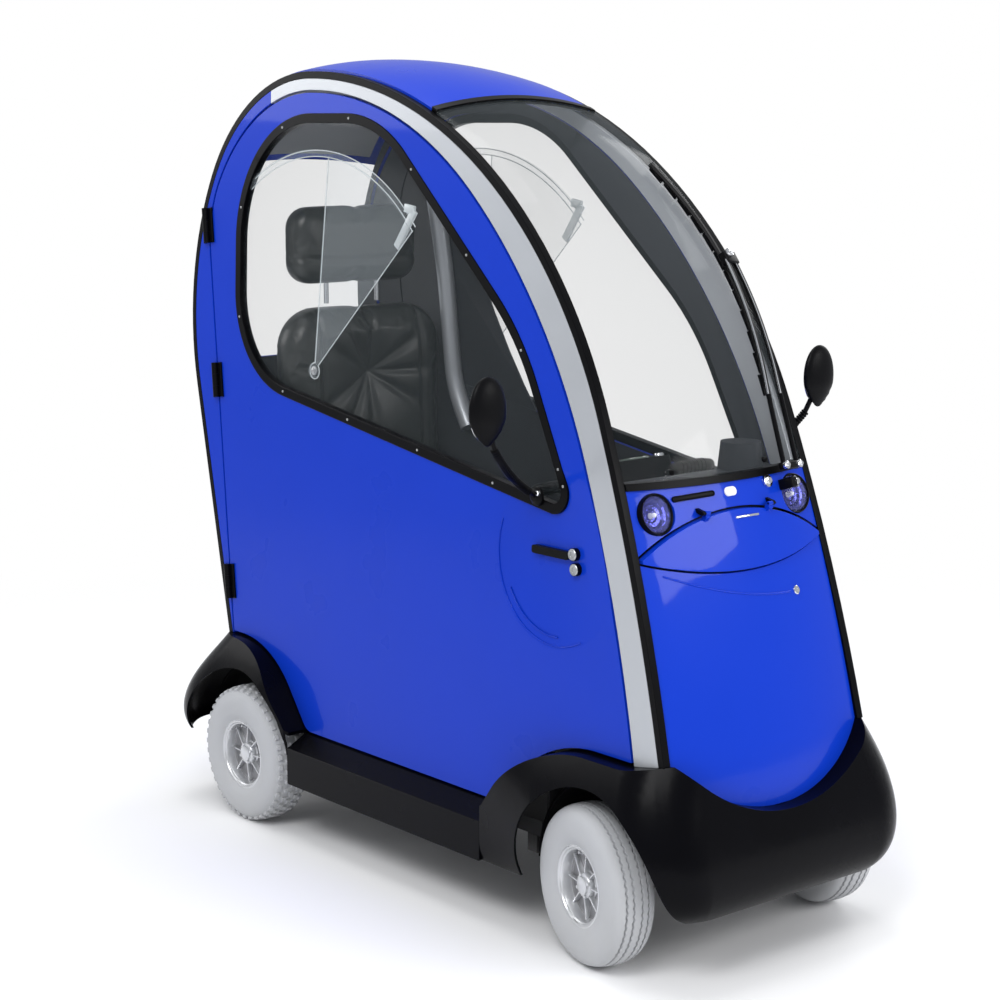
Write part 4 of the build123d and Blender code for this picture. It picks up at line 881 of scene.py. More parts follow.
# below each height the head narrows by a share
HEAD_TAPER = ((-0.018, 0.97), (-0.034, 0.93), (-0.048, 0.88), (-0.058, 0.82))
HEAD_TAPER_CENTRE = (0, 0, -0.03)
HEAD_FLAT = 0.0085
SOCKET_OUTLINE = (
    (0, 0.0130), (0.0080, 0.0120), (0.0130, 0.0040), (0.0110, -0.0080), (0.0075, -0.0140), (0, -0.0140),
)
SOCKET_PLACE = (0.467, -0.505, 1.076)
SOCKET_AXIS = (0.2, -0.1, 0.9)
GLASS_HALVES = (0.0385, 0.0600, 1)
GLASS_THICKNESS = 0.0012
GLASS_SHIFT = Vector((0, 0.0082, 0))
FOOT_NUT_OUTLINE = ((0, 0.0062), (0.0042, 0.0060), (0.0058, 0.0048), (0.0062, 0.0040), (0.0062, 0), (0, 0))
FOOT_NUT_STAND = 0.0082
FOOT_NUT_SHIFT = Vector((0, -0.012, 0.0085))


class SCOOTER_OT_mirrors(bpy.types.Operator):
    """Models the two mirrors on their ribbed necks"""

    bl_idname = "scooter.mirrors"
    bl_label = "Mirrors"

    def execute(self, context):
        stock = colours()
        foot, out = side_skin(*MIRROR_FOOT, 1, FOOT_STAND)
        parts = [place(turned("base", FOOT_OUTLINE, steps=40), foot, aim(out, (0, 1, 0)))]
        parts.append(rod("neck", [foot + out * FOOT_STAND, *NECK_ROUTE], NECK_RADIUS))
        ring = turned("ring", RING_OUTLINE, steps=20)
        start, middle, end = (Vector(point) for point in RING_CURVE)
        for index in range(NECK_RINGS):
            share = index / (NECK_RINGS - 1)
            point = start * (1 - share) ** 2 + middle * 2 * share * (1 - share) + end * share**2
            ahead = (middle - start) * (1 - share) + (end - middle) * share
            parts.append(place(copied(ring, "ring"), point, aim(ahead, (0, 0, 1))))
        hold(ring)
        bpy.ops.object.delete()
        head = begin("head", "uv_sphere", segments=40, ring_count=24, radius=1, location=(0, 0, 0))
        scaled(head, HEAD_HALVES)
        for level, share in HEAD_TAPER:
            pick(head, "VERT", lambda place, normal: place.z < level)
            bpy.ops.transform.resize(value=(share, share, 1), center_override=HEAD_TAPER_CENTRE)
        pick(head, "VERT", lambda place, normal: place.y > HEAD_FLAT)
        bpy.ops.transform.resize(value=(1, 0, 1), center_override=(0, HEAD_FLAT, 0))
        bpy.ops.object.mode_set(mode="OBJECT")
        parts.append(place(head, HEAD_CENTRE))
        socket = turned("socket", SOCKET_OUTLINE, steps=24)
        parts.append(place(socket, SOCKET_PLACE, aim(SOCKET_AXIS)))
        mirror = joined("mirror_head_left", parts)
        glass = begin("mirror_glass_left", "circle", vertices=48, radius=1, fill_type="NGON",
                      location=(0, 0, 0))
        edit(scaled(glass, GLASS_HALVES))
        bpy.ops.mesh.extrude_region_move(TRANSFORM_OT_translate={"value": (0, 0, GLASS_THICKNESS)})
        leave(outward=True)
        place(glass, Vector(HEAD_CENTRE) + GLASS_SHIFT, aim((0, 1, 0), (-1, 0, 0)))
        nut = turned("mirror_nut_left", FOOT_NUT_OUTLINE, steps=6)
        place(nut, foot + out * FOOT_NUT_STAND + FOOT_NUT_SHIFT, aim(out, (0, 1, 0)))
        for piece, finish, slot in (
            (mirror, "black_plastic", "black_plastic"), (glass, "mirror_glass", "bright_metal"),
            (nut, "bright_metal", "bright_metal"),
        ):
            right = copied(piece, piece.name.replace("left", "right"), mirrored=True)
            for item, side in ((piece, "left"), (right, "right")):
                instead = [f"mirror_{side}"] if item.name.startswith("mirror_head") else []
                finish_piece(item, stock[finish], f"door_{side}", CRISP, instead)
        return {"FINISHED"}


# Small parts of the nose, cowl and doors

WIPER_STEPS = 8
# across at the foot, across at the top
WIPER_ARMS = ((0.140, 0.182), (0.186, 0.210))
WIPER_FOOT_TURN = 69.9
WIPER_TOP_TURN = 52.2
WIPER_STAND = 0.036
WIPER_BOW = 0.004
ARM_RADIUS = 0.0052
# painted highlight: a thin rod of bright metal beside each dark arm stands in for the highlight along it
GLINT_RADIUS = 0.0026
GLINT_SHIFT = Vector((-0.0030, -0.0030, 0.0010))
BRACKET_EDGE = 0.0030
# across, turn, stand over the skin, size
WIPER_BRACKETS = (
    (0.163, 69.9, 0.034, (0.062, 0.016, 0.016)),
    (0.196, 52.0, 0.034, (0.040, 0.030, 0.020)),
    (0.163, 70.35, 0.014, (0.020, 0.022, 0.040)),
)
# across, turn, stand over the skin, radius
WIPER_NUTS = (
    (0.112, 70.2, 0.0, 0.0135), (0.210, 70.3, 0.0, 0.0135), (0.140, 69.9, 0.040, 0.0090),
    (0.186, 69.9, 0.040, 0.0090), (0.192, 51.6, 0.044, 0.0100),
)
# share of the nut's radius, height
NUT_PROFILE = ((0, 0.0110), (0.45, 0.0105), (0.60, 0.0070), (0.95, 0.0060), (1, 0.0035), (1, 0), (0, 0))
BLADE_ACROSS = 0.170
BLADE_BOW = 0.030
BLADE_TOP_TURN = 37.5
BLADE_SWEEP = 30
BLADE_PARTS = 12
SPINE_RADIUS = 0.0058
SPINE_STAND = 0.016
LIP_SIZE = (0.0040, 0.046, 0.013)
LIP_STAND = 0.010


def blade_place(share, stand):
    """A place along the wiper's bowed blade."""
    x = BLADE_ACROSS + BLADE_BOW * sin(pi * share)
    return front_skin(x, BLADE_TOP_TURN + BLADE_SWEEP * share, stand)


class SCOOTER_OT_wiper(bpy.types.Operator):
    """Models the wiper: two rods, each with a thin bright rod beside it as a painted highlight, a blade in
    its holder, the brackets and their nuts
    """

    bl_idname = "scooter.wiper"
    bl_label = "Wiper"

    def execute(self, context):
        stock = colours()
        dark = []
        bright = []
        for x_low, x_high in WIPER_ARMS:
            line = []
            for step in range(WIPER_STEPS + 1):
                share = step / WIPER_STEPS
                turn = WIPER_FOOT_TURN - (WIPER_FOOT_TURN - WIPER_TOP_TURN) * share
                stand = WIPER_STAND + WIPER_BOW * sin(pi * share)
                line.append(front_skin(x_low + (x_high - x_low) * share, turn, stand)[0])
            dark.append(rod("arm", line, ARM_RADIUS))
            # a thin bright metal rod along the arm: a painted highlight
            bright.append(rod("glint", [point + GLINT_SHIFT for point in line[1:]], GLINT_RADIUS, 8))
        for x, turn, stand, size in WIPER_BRACKETS:
            at, out = front_skin(x, turn, stand)
            bar = block("bar", size)
            bevel(bar, BRACKET_EDGE, 3)
            dark.append(place(bar, at, aim(out)))
        for x, turn, stand, radius in WIPER_NUTS:
            at, out = front_skin(x, turn, stand)
            nut = turned("nut", [(radius * share, height) for share, height in NUT_PROFILE], steps=24)
            bright.append(place(nut, at, aim(out)))
        spine = [blade_place(step / BLADE_PARTS, SPINE_STAND)[0] for step in range(BLADE_PARTS + 1)]
        dark.append(rod("spine", spine, SPINE_RADIUS, 8))
        for step in range(BLADE_PARTS):
            at, out = blade_place((step + 0.5) / BLADE_PARTS, LIP_STAND)
            dark.append(place(block("lip", LIP_SIZE), at, aim(out)))
        dark = joined("wiper_arms", dark)
        finish_piece(dark, stock["black_plastic"], "body", CRISP, ["wiper"])
        # the nuts are bright metal; the glint rods joined with them are painted highlights
        bright = joined("wiper_bright_parts", bright)
        finish_piece(bright, stock["bright_metal"], "body", CRISP)
        return {"FINISHED"}


# name, across, turn from the roof top, length across, height, thickness, share that the face moves, finish
PLATES = (
    ("cowl_vent", -0.1025, 70.31, 0.108, 0.0120, 0.0060, -0.35, "black_plastic"),
    ("cowl_lamp", -0.0040, 70.33, 0.032, 0.0190, 0.0070, 0.3, "white_lens"),
    ("lid_plate", 0.0240, 71.05, 0.070, 0.0085, 0.0100, 0.3, "bright_metal"),
)
PLATE_RIM = 0.0014
PLATE_STEP = 0.0006
PLATE_EDGE = 0.0005
MIDDLE = 0.0001
LOCK_PLACE = (0.133, 73.23)
LOCK_OUTLINE = (
    (0, 0.0016), (0.0030, 0.0016), (0.0034, 0.0030), (0.0078, 0.0034), (0.0092, 0.0024), (0.0096, 0), (0, 0),
)
CREASE_FROM = -0.2127
CREASE_LENGTH = 0.3257
CREASE_TURN = 72.24
CREASE_STEPS = 12
CREASE_RADIUS = 0.0022
JETS_ACROSS = (-0.140, 0.120)
JET_TURN = 69.6
JET_OUTLINE = ((0, 0.0090), (0.0025, 0.0085), (0.0050, 0.0050), (0.0062, 0.0015), (0.0064, 0), (0, 0))


class SCOOTER_OT_front_trim(bpy.types.Operator):
    """Models the cowl's slot and lamp, the lid's plate and lock, the nose's crease and the washer jets"""

    bl_idname = "scooter.front_trim"
    bl_label = "Nose and cowl parts"

    def execute(self, context):
        stock = colours()
        for name, x, turn, length, height, thick, share, finish in PLATES:
            at, out = front_skin(x, turn)
            plate = begin(name, "cylinder", vertices=48, radius=1, depth=1, location=(0, 0, 0))
            scaled(plate, (height / 2, height / 2, thick))
            for way in (1, -1):
                pick(plate, "VERT", lambda place, normal: (place.x > MIDDLE) == (way > 0))
                bpy.ops.transform.translate(value=(way * (length - height) / 2, 0, 0))
            pick(plate, "FACE", lambda place, normal: normal.z > 0.9)
            bpy.ops.mesh.inset(thickness=PLATE_RIM, depth=0)
            bpy.ops.mesh.inset(thickness=PLATE_STEP, depth=thick * share)
            bpy.ops.object.mode_set(mode="OBJECT")
            bevel(plate, PLATE_EDGE, 2)
            place(plate, at, aim(out))
            finish_piece(plate, stock[finish], "body", CRISP)
        at, out = front_skin(*LOCK_PLACE)
        lock = place(turned("lid_lock", LOCK_OUTLINE, steps=32), at, aim(out))
        finish_piece(lock, stock["bright_metal"], "body", CRISP)
        crease = []
        for step in range(CREASE_STEPS + 1):
            share = step / CREASE_STEPS
            turn = CREASE_TURN + 1 - (1 - share) ** 2
            crease.append(front_skin(CREASE_FROM + CREASE_LENGTH * share, turn)[0])
        crease = rod("nose_crease", crease, CREASE_RADIUS)
        finish_piece(crease, stock["blue_paint"], "body", ROUND)
        jets = []
        for x in JETS_ACROSS:
            at, out = front_skin(x, JET_TURN)
            jets.append(place(turned("jet", JET_OUTLINE, steps=20), at, aim(out)))
        jets = joined("washer_jets", jets)
        finish_piece(jets, stock["black_plastic"], "body")
        return {"FINISHED"}


LOCK_RINGS = ((-0.543, 0.818), (-0.549, 0.788))
LOCK_RING_STAND = 0.0050
LOCK_RING_OUTLINE = (
    (0, 0.0004), (0.0052, 0.0004), (0.0060, 0.0018), (0.0100, 0.0022), (0.0118, 0.0010), (0.0122, 0), (0, 0),
)
VENT_PIVOT = (0.381, 1.107)
VENT_BOLT_OUTLINE = (
    (0, 0.0075), (0.0040, 0.0072), (0.0062, 0.0058), (0.0066, 0.0040), (0.0098, 0.0034), (0.0106, 0.0020),
    (0.0106, 0), (0, 0),
)
# edges of the clear vent round its pivot: first and last angle, first and last radius
VENT_EDGES = (
    (45, 137, 0.489, 0.489), (45, 137, 0.503, 0.503), (95, 95, 0.0185, 0.4905), (137, 137, 0.0185, 0.4905),
    (137, 455, 0.0185, 0.0185),
)
# ends of the two legs of the vent's handle, in the side view
VENT_HANDLE = (((0.0180, 1.4850), (0.0790, 1.4030)), ((0.0520, 1.4900), (0.0180, 1.4850)))
VENT_EDGE_RADIUS = 0.0013
VENT_STAND = -0.0100
HANDLE_STAND = -0.0110
HANDLE_EDGE = 0.0018
HANDLE_WIDTH = 0.0190
HANDLE_THICKNESS = 0.0080
DISH_CENTRE = (-0.488, 0.800)
# radius, first and last angle of the ridges round the dished place at the door pull
DISH_EDGES = ((0.1790, -118, 20), (0.1600, -95, -30))
RIDGE_STAND = 0.0002
RIDGE_RADIUS = 0.0016
CURVE_STEPS = 24
SCREW_INSET = 0.011
SCREW_PITCH = 0.262
SCREW_STAND = 0.0020
SCREW_OUTLINE = ((0, 0.0016), (0.00165, 0.0015), (0.0027, 0.0008), (0.0030, 0), (0, 0))
# window corners in the side view, each with its rounding
WINDOW_CORNERS = (
    (-0.555, 0.878, 0.045), (0.700, 1.070, 0.240), (0.700, 1.692, 0.300), (0.135, 1.692, 0.330),
    (-0.366, 1.247, 0.600),
)
CORNER_STEPS = 16


def round_the_window(inset, spacing):
    """Points (y, z) round the window's rounded outline, at an even spacing, moved inward."""
    line = []
    count = len(WINDOW_CORNERS)
    for index, (y, z, radius) in enumerate(WINDOW_CORNERS):
        corner = Vector((y, z))
        back = (Vector(WINDOW_CORNERS[index - 1][:2]) - corner).normalized()
        ahead = (Vector(WINDOW_CORNERS[(index + 1) % count][:2]) - corner).normalized()
        half = back.angle(ahead) / 2
        centre = corner + (back + ahead).normalized() * (radius / sin(half))
        start = corner + back * (radius / (sin(half) / cos(half))) - centre
        end = corner + ahead * (radius / (sin(half) / cos(half))) - centre
        sweep = start.angle_signed(end)
        for step in range(CORNER_STEPS + 1):
            ray = start.copy()
            ray.rotate(Matrix.Rotation(-sweep * step / CORNER_STEPS, 2))
            line.append(centre + ray * ((radius - inset) / radius))
    points = []
    left = 0.0
    for index, point in enumerate(line):
        after = line[(index + 1) % len(line)]
        length = (after - point).length
        while left < length:
            points.append(point.lerp(after, left / length))
            left += spacing
        left -= length
    return points


def round_places(centre, reaches, angles, way, stand):
    """Points on a door round a centre in the side view, as the reach and the angle change evenly."""
    line = []
    for step in range(CURVE_STEPS + 1):
        share = step / CURVE_STEPS
        turn = radians(angles[0] + (angles[1] - angles[0]) * share)
        reach = reaches[0] + (reaches[1] - reaches[0]) * share
        line.append(side_skin(centre[0] + reach * cos(turn), centre[1] + reach * sin(turn), way, stand)[0])
    return line


class SCOOTER_OT_door_trim(bpy.types.Operator):
    """Models the lock rings, the vents' bolts, edges and handles, the dish's ridges and the rim's screws"""

    bl_idname = "scooter.door_trim"
    bl_label = "Door parts"

    def execute(self, context):
        stock = colours()
        for side, way in SIDES:
            door = f"door_{side}"
            rings = []
            for y, z in LOCK_RINGS:
                at, out = side_skin(y, z, way, LOCK_RING_STAND)
                rings.append(place(turned("ring", LOCK_RING_OUTLINE, steps=32), at, aim(out, (0, 1, 0))))
            rings = joined(f"lock_rings_{side}", rings)
            finish_piece(rings, stock["dull_metal"], door, CRISP)
            bolt = turned(f"vent_bolt_{side}", VENT_BOLT_OUTLINE, steps=32)
            at, out = side_skin(*VENT_PIVOT, way)
            place(bolt, at + Vector((out.x * VENT_STAND, 0, 0)), aim(out, (0, 1, 0)))
            finish_piece(bolt, stock["dull_metal"], door, CRISP)
            edges = []
            for low, high, near, far in VENT_EDGES:
                line = round_places(VENT_PIVOT, (near, far), (low, high), way, VENT_STAND)
                edges.append(rod("edge", line, VENT_EDGE_RADIUS, 8))
            for ends in VENT_HANDLE:
                first, last = (side_skin(y, z, way, HANDLE_STAND)[0] for y, z in ends)
                bar = block("bar", (HANDLE_WIDTH, HANDLE_THICKNESS, (last - first).length))
                bevel(bar, HANDLE_EDGE)
                along = (last - first).normalized()
                edges.append(place(bar, (first + last) / 2, aim(along, along.cross(out))))
            edges = joined(f"vent_edges_{side}", edges)
            finish_piece(edges, stock["acrylic_edge"], door)
            for radius, low, high in DISH_EDGES:
                line = round_places(DISH_CENTRE, (radius, radius), (low, high), way, RIDGE_STAND)
                ridge = rod(f"dish_edge_{side}_{round(radius * MILLIMETRES)}", line, RIDGE_RADIUS, 8)
                finish_piece(ridge, stock["blue_paint"], door, ROUND)
            heads = []
            for y, z in round_the_window(SCREW_INSET, SCREW_PITCH):
                at, out = side_skin(y, z, way, SCREW_STAND)
                heads.append(place(turned("head", SCREW_OUTLINE, steps=16), at, aim(out, (0, 1, 0.01))))
            heads = joined(f"rim_screws_{side}", heads)
            finish_piece(heads, stock["dull_metal"], door, CRISP)
        return {"FINISHED"}


# Seat

PAD_VOXEL = 0.006
PAD_CORNER_SEGMENTS = 8
PAD_EDGE_SEGMENTS = 5
PAD_EDGE_ANGLE = 60
PAD_QUALITY = 4
PAD_PRESSURE = 4.0
PAD_STIFFNESS = 30
PAD_BENDING = 3
PAD_FRAMES = 16
DIMPLE_REACH = 0.030
DIMPLE_FALL = 2.4
FOLD_SHARE = 0.924
FOLD_WANDER = 1.3


def pad(name, low, high, form, dimples=(), taper=()):
    """A stuffed pad: a rounded block, remeshed, blown up a little as cloth, then tufted."""
    low_shift, high_shift, corner, edge, cap = form
    low, high = low + Vector(low_shift), high + Vector(high_shift)
    size = high - low
    middle = (high + low) / 2
    piece = block(name, size)
    thin_axis = min(range(3), key=lambda index: size[index])
    pick(piece, "EDGE", lambda place, along: abs(along.normalized()[thin_axis]) > 0.9)
    bpy.ops.mesh.bevel(offset=corner, segments=PAD_CORNER_SEGMENTS, affect="EDGES")
    bpy.ops.mesh.select_all(action="SELECT")
    bpy.ops.object.mode_set(mode="OBJECT")
    bevel(piece, edge, PAD_EDGE_SEGMENTS, PAD_EDGE_ANGLE)
    for above, scale, centre in taper:
        pick(piece, "VERT", lambda place, normal: place.z > above)
        bpy.ops.transform.resize(value=scale, center_override=centre)
        bpy.ops.object.mode_set(mode="OBJECT")
    place(piece, middle)
    shell = piece.modifiers.new("shell", "REMESH")
    shell.mode = "VOXEL"
    shell.voxel_size = PAD_VOXEL
    apply_all(piece)
    rest = [vert.co.copy() for vert in piece.data.vertices]
    cloth = piece.modifiers.new("stuffing", "CLOTH")
    cloth.settings.use_pressure = True
    cloth.settings.uniform_pressure_force = PAD_PRESSURE
    cloth.settings.effector_weights.gravity = 0
    cloth.settings.quality = PAD_QUALITY
    cloth.settings.tension_stiffness = PAD_STIFFNESS
    cloth.settings.compression_stiffness = PAD_STIFFNESS
    cloth.settings.bending_stiffness = PAD_BENDING
    scene = bpy.context.scene
    for number in range(1, PAD_FRAMES + 1):
        scene.frame_set(number)
    hold(piece)
    bpy.ops.object.modifier_apply(modifier=cloth.name)
    scene.frame_set(1)
    for vert, start in zip(piece.data.vertices, rest):
        move = vert.co - start
        if move.length > cap:
            vert.co = start + move * (cap / move.length)
    for centre, axis, radius, depth, folds in dimples:
        press(piece, Vector(centre), axis, radius, depth, folds)
    smooth = piece.modifiers.new("smooth", "SUBSURF")
    smooth.levels = 1
    smooth.render_levels = 1
    apply_all(piece)
    return piece


def press(piece, centre, axis, radius, depth, folds):
    """Pulls a button into a pad and gathers the cover in folds that run out from it."""
    others = [index for index in range(3) if index != axis]
    for vert in piece.data.vertices:
        if (vert.co[axis] - centre[axis]) * (1 if depth > 0 else -1) > DIMPLE_REACH:
            continue
        across = vert.co[others[0]] - centre[others[0]]
        up = vert.co[others[1]] - centre[others[1]]
        away = sqrt(across**2 + up**2)
        if away > radius:
            continue
        share = 1 - away / radius
        angle = atan2(up, across)
        wave = 0.5 + 0.5 * cos(folds * angle + FOLD_WANDER * sin(3 * angle))
        pull = depth * share**DIMPLE_FALL
        pull = pull + depth * FOLD_SHARE * wave**3 * share * (1 - share)
        vert.co[axis] += pull


def channel(piece, test, direction, depth):
    """Sews a shallow channel: vertices near a line move in, most at its middle."""
    for vert in piece.data.vertices:
        share = test(vert.co)
        if share > 0:
            vert.co += direction * depth * share


def covered(piece, leather, node):
    """Covers a pad with leather and shades it all smooth."""
    finish_piece(piece, leather, "body", 0, [node])
    hold(piece)
    bpy.ops.object.shade_smooth()


# how each pad's low and high corners stand off its solid's, corner and edge rounding, most swelling
CUSHION_FORM = ((0.008, 0.008, 0.003), (-0.008, -0.004, -0.010), 0.060, 0.024, 0.010)
BACK_FORM = ((-0.006, -0.004, 0.004), (0.006, -0.004, -0.002), 0.105, 0.044, 0.012)
HEADREST_FORM = ((-0.003, 0.002, 0), (0.003, -0.002, 0), 0.052, 0.030, 0.008)
# the back's vertices above a height, with the origin at its middle, and how they draw in
BACK_TAPER = (0.15, (0.96, 1, 1), (0, 0, 0.3))
# sewn channels: places across or up the pads, half width, depths
CUSHION_CHANNEL = 0.150
BACK_CHANNEL = 0.158
HEADREST_CHANNEL = 1.345
BACK_CHANNEL_LEAN = 0.02
BACK_CHANNEL_FOOT = 0.6
HEADREST_CHANNEL_BOW = 0.25
CHANNEL_HALF_WIDTH = 0.012
BACK_CHANNEL_HALF_WIDTH = 0.011
CUSHION_STITCH = 0.0035
CUSHION_STITCHES = 2
BACK_STITCH = 0.006
HEADREST_STITCH = 0.005
BUTTON_OUTLINE = (
    (0, 0.0060), (0.0050, 0.0055), (0.0090, 0.0038), (0.0112, 0.0008), (0.0100, -0.0030), (0, -0.0040),
)
# place and the way out of the pad
BUTTONS = (
    ((0, 0.5315, 1.075), (0, -1, 0)), ((0, 0.5300, 0.800), (0, -1, 0)), ((0, 0.345, 0.6340), (0, 0, 1)),
)


class SCOOTER_OT_seat(bpy.types.Operator):
    """Models the seat cushion, the tufted backrest, the headrest and their buttons"""

    bl_idname = "scooter.seat"
    bl_label = "Seat"

    def execute(self, context):
        leather = colours()["black_leather"]
        low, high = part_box("seat_cushion")
        cushion = pad("seat_pad", low, high, CUSHION_FORM, [((0, 0.345, high.z), 2, 0.115, -0.016, 11)])

        def on_cushion(place):
            away = abs(abs(place.x) - CUSHION_CHANNEL) / CHANNEL_HALF_WIDTH
            return 1 - away if place.z > low.z + 0.03 else 0

        for stitch in range(CUSHION_STITCHES):
            channel(cushion, on_cushion, Vector((0, 0, -1)), CUSHION_STITCH)
        covered(cushion, leather, "seat_cushion")
        low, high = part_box("seat_back")
        dimples = [((0, low.y, 1.075), 1, 0.185, 0.034, 9), ((0, low.y, 0.800), 1, 0.150, 0.028, 9)]
        back = pad("back_pad", low, high, BACK_FORM, dimples, [BACK_TAPER])
        back_front = low.y

        def on_back(place):
            leaning = BACK_CHANNEL - BACK_CHANNEL_LEAN * (place.z - BACK_CHANNEL_FOOT)
            away = abs(abs(place.x) - leaning) / BACK_CHANNEL_HALF_WIDTH
            return 1 - away if place.y < back_front + 0.06 else 0

        channel(back, on_back, Vector((0, 1, 0)), BACK_STITCH)
        covered(back, leather, "seat_back")
        low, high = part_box("headrest")
        head = pad("headrest_pad", low, high, HEADREST_FORM)
        head_front = low.y

        def on_headrest(place):
            away = abs(place.z - HEADREST_CHANNEL - HEADREST_CHANNEL_BOW * place.x**2) / CHANNEL_HALF_WIDTH
            return 1 - away if place.y < head_front + 0.04 else 0

        channel(head, on_headrest, Vector((0, 1, 0)), HEADREST_STITCH)
        covered(head, leather, "headrest")
        buttons = [place(turned("button", BUTTON_OUTLINE, steps=24), at, aim(out)) for at, out in BUTTONS]
        buttons = joined("seat_buttons", buttons)
        finish_piece(buttons, leather, "body", ROUND)
        return {"FINISHED"}


# Tiller and linings

# the tiller's axis, its turn in the photographed pose and the foot of its head
TILLER_AXIS = (0, 0.135, 0.518)
TILLER_TURN = -12
TILLER_BASE = (0, -0.425, 0.905)
GRIP_HEIGHT = 0.031
SLEEVE = ((0.118, 0.001), (0.150, 0), (0.182, 0))
SLEEVE_RADIUS = 0.0148
GRIP_RINGS = 7
GRIP_RINGS_FROM = 0.122
GRIP_RING_PITCH = 0.0095
GRIP_RING_OUTLINE = ((0.0145, 0.0022), (0.0158, 0.0012), (0.0158, -0.0012), (0.0145, -0.0022))
LEVER_ROUTE = ((0.060, 0.052, 0.020), (0.105, 0.070, 0.020), (0.150, 0.052, 0.024), (0.186, 0.046, 0.026))
LEVER_RADIUS = 0.0052
KNOB_OUTLINE = (
    (0, 0.0090), (0.0050, 0.0080), (0.0080, 0.0030), (0.0080, -0.0030), (0.0050, -0.0080), (0, -0.0090),
)
KNOB_PLACE = (0.188, 0.0455, 0.026)
DIAL_OUTLINE = (
    (0, 0.0010), (0.0300, 0.0010), (0.0312, 0.0034), (0.0345, 0.0040), (0.0362, 0.0026), (0.0366, 0), (0, 0),
)
DIAL_PLACE = (0, -0.008, 0.0622)
SWITCHES = ((-0.055, 0.020), (-0.055, -0.004), (-0.055, -0.028), (0.055, 0.020), (0.055, -0.004))
SWITCH_SIZE = (0.020, 0.013, 0.0060)
SWITCH_HEIGHT = 0.0640
SWITCH_RIM = 0.0018
SWITCH_DIP = -0.0010
SWITCH_EDGE = 0.0008
KEY_OUTLINE = (
    (0, 0.0042), (0.0050, 0.0042), (0.0056, 0.0060), (0.0088, 0.0064), (0.0100, 0.0040), (0.0104, 0), (0, 0),
)
KEY_PLACE = (0.055, -0.029, 0.0622)


class SCOOTER_OT_controls(bpy.types.Operator):
    """Models the tiller's grips, levers, dial face, switches and key"""

    bl_idname = "scooter.controls"
    bl_label = "Tiller parts"

    def execute(self, context):
        stock = colours()
        axis = Vector(TILLER_AXIS).normalized()
        across = Vector((1, 0, 0))
        across.rotate(Matrix.Rotation(radians(TILLER_TURN), 3, axis))
        along = axis.cross(across)

        def at(x, y, z):
            return Vector(TILLER_BASE) + across * x + along * y + axis * z

        grips = []
        levers = []
        for way in (-1, 1):
            grips.append(rod("sleeve", [at(way * x, y, GRIP_HEIGHT) for x, y in SLEEVE], SLEEVE_RADIUS, 16))
            for index in range(GRIP_RINGS):
                ring = turned("ring", GRIP_RING_OUTLINE, steps=20)
                x = way * (GRIP_RINGS_FROM + GRIP_RING_PITCH * index)
                grips.append(place(ring, at(x, 0, GRIP_HEIGHT), aim(across, (0, 0, 1))))
        grips = joined("tiller_grips", grips)
        finish_piece(grips, stock["seal_rubber"], "tiller")
        for way in (-1, 1):
            levers.append(rod("lever", [at(way * x, y, z) for x, y, z in LEVER_ROUTE], LEVER_RADIUS))
            x, y, z = KNOB_PLACE
            knob = turned("knob", KNOB_OUTLINE, steps=20)
            levers.append(place(knob, at(way * x, y, z), aim(across, (0, 0, 1))))
        levers = joined("tiller_levers", levers)
        finish_piece(levers, stock["dull_metal"], "tiller")
        face = place(turned("dial_face", DIAL_OUTLINE, steps=48), at(*DIAL_PLACE), aim(axis, across))
        finish_piece(face, stock["display"], "tiller", FLAT)
        switches = []
        for x, y in SWITCHES:
            switch = block("switch", SWITCH_SIZE)
            pick(switch, "FACE", lambda place, normal: normal.z > 0.9)
            bpy.ops.mesh.inset(thickness=SWITCH_RIM, depth=SWITCH_DIP)
            bpy.ops.object.mode_set(mode="OBJECT")
            bevel(switch, SWITCH_EDGE, 2)
            switches.append(place(switch, at(x, y, SWITCH_HEIGHT), aim(axis, across)))
        switches = joined("tiller_switches", switches)
        finish_piece(switches, stock["dark_trim"], "tiller", CRISP)
        key = place(turned("key_barrel", KEY_OUTLINE, steps=32), at(*KEY_PLACE), aim(axis, across))
        finish_piece(key, stock["bright_metal"], "tiller", CRISP)
        return {"FINISHED"}


LINING_HALF_WIDTH = 0.205
LINING_DROP = 0.0115
LINING_THICKNESS = 0.004
LINING_STRIPS = 12
SHEET_THICKNESS = 0.0016


def hooped_sheet(name, arcs, way, last, steps):
    """A crowned sheet under the roof that follows the cab's corner line from the roof top to a turn."""
    start, out = arc_place(arcs, way, 0)
    points = []
    for index in range(LINING_STRIPS + 1):
        x = -LINING_HALF_WIDTH + 2 * LINING_HALF_WIDTH * index / LINING_STRIPS
        points.append(start + out * (crown_at(x) - LINING_DROP) + Vector((x, 0, 0)))
    sheet = drawn(name, points)
    centre = Vector((0, ROOF_TOP[0], ROOF_TOP[1] - arcs[0][0]))
    edit(sheet)
    bpy.ops.mesh.spin(steps=steps, angle=radians(last), center=centre, axis=(way, 0, 0))
    leave(WELD)
    return sheet


def thickened(sheet, thickness, offset):
    """Gives a sheet its thickness."""
    thick = sheet.modifiers.new("thick", "SOLIDIFY")
    thick.thickness = thickness
    thick.offset = offset
    apply_all(sheet)


def lined(name, node, inside, finish, body):
    """Trims a panel: a thin sheet over those of its faces that look into the cabin."""
    sheet = copied(frame["nodes"][node], name)
    del sheet["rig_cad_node"]
    sheet.modifiers.clear()
    bpy.ops.object.mode_set(mode="EDIT")
    bpy.ops.mesh.select_mode(type="FACE")
    leave(WELD)
    pick(sheet, "FACE", lambda place, normal: not inside(place, normal))
    bpy.ops.mesh.delete(type="FACE")
    bpy.ops.object.mode_set(mode="OBJECT")
    thickened(sheet, SHEET_THICKNESS, 1)
    finish_piece(sheet, finish, body)


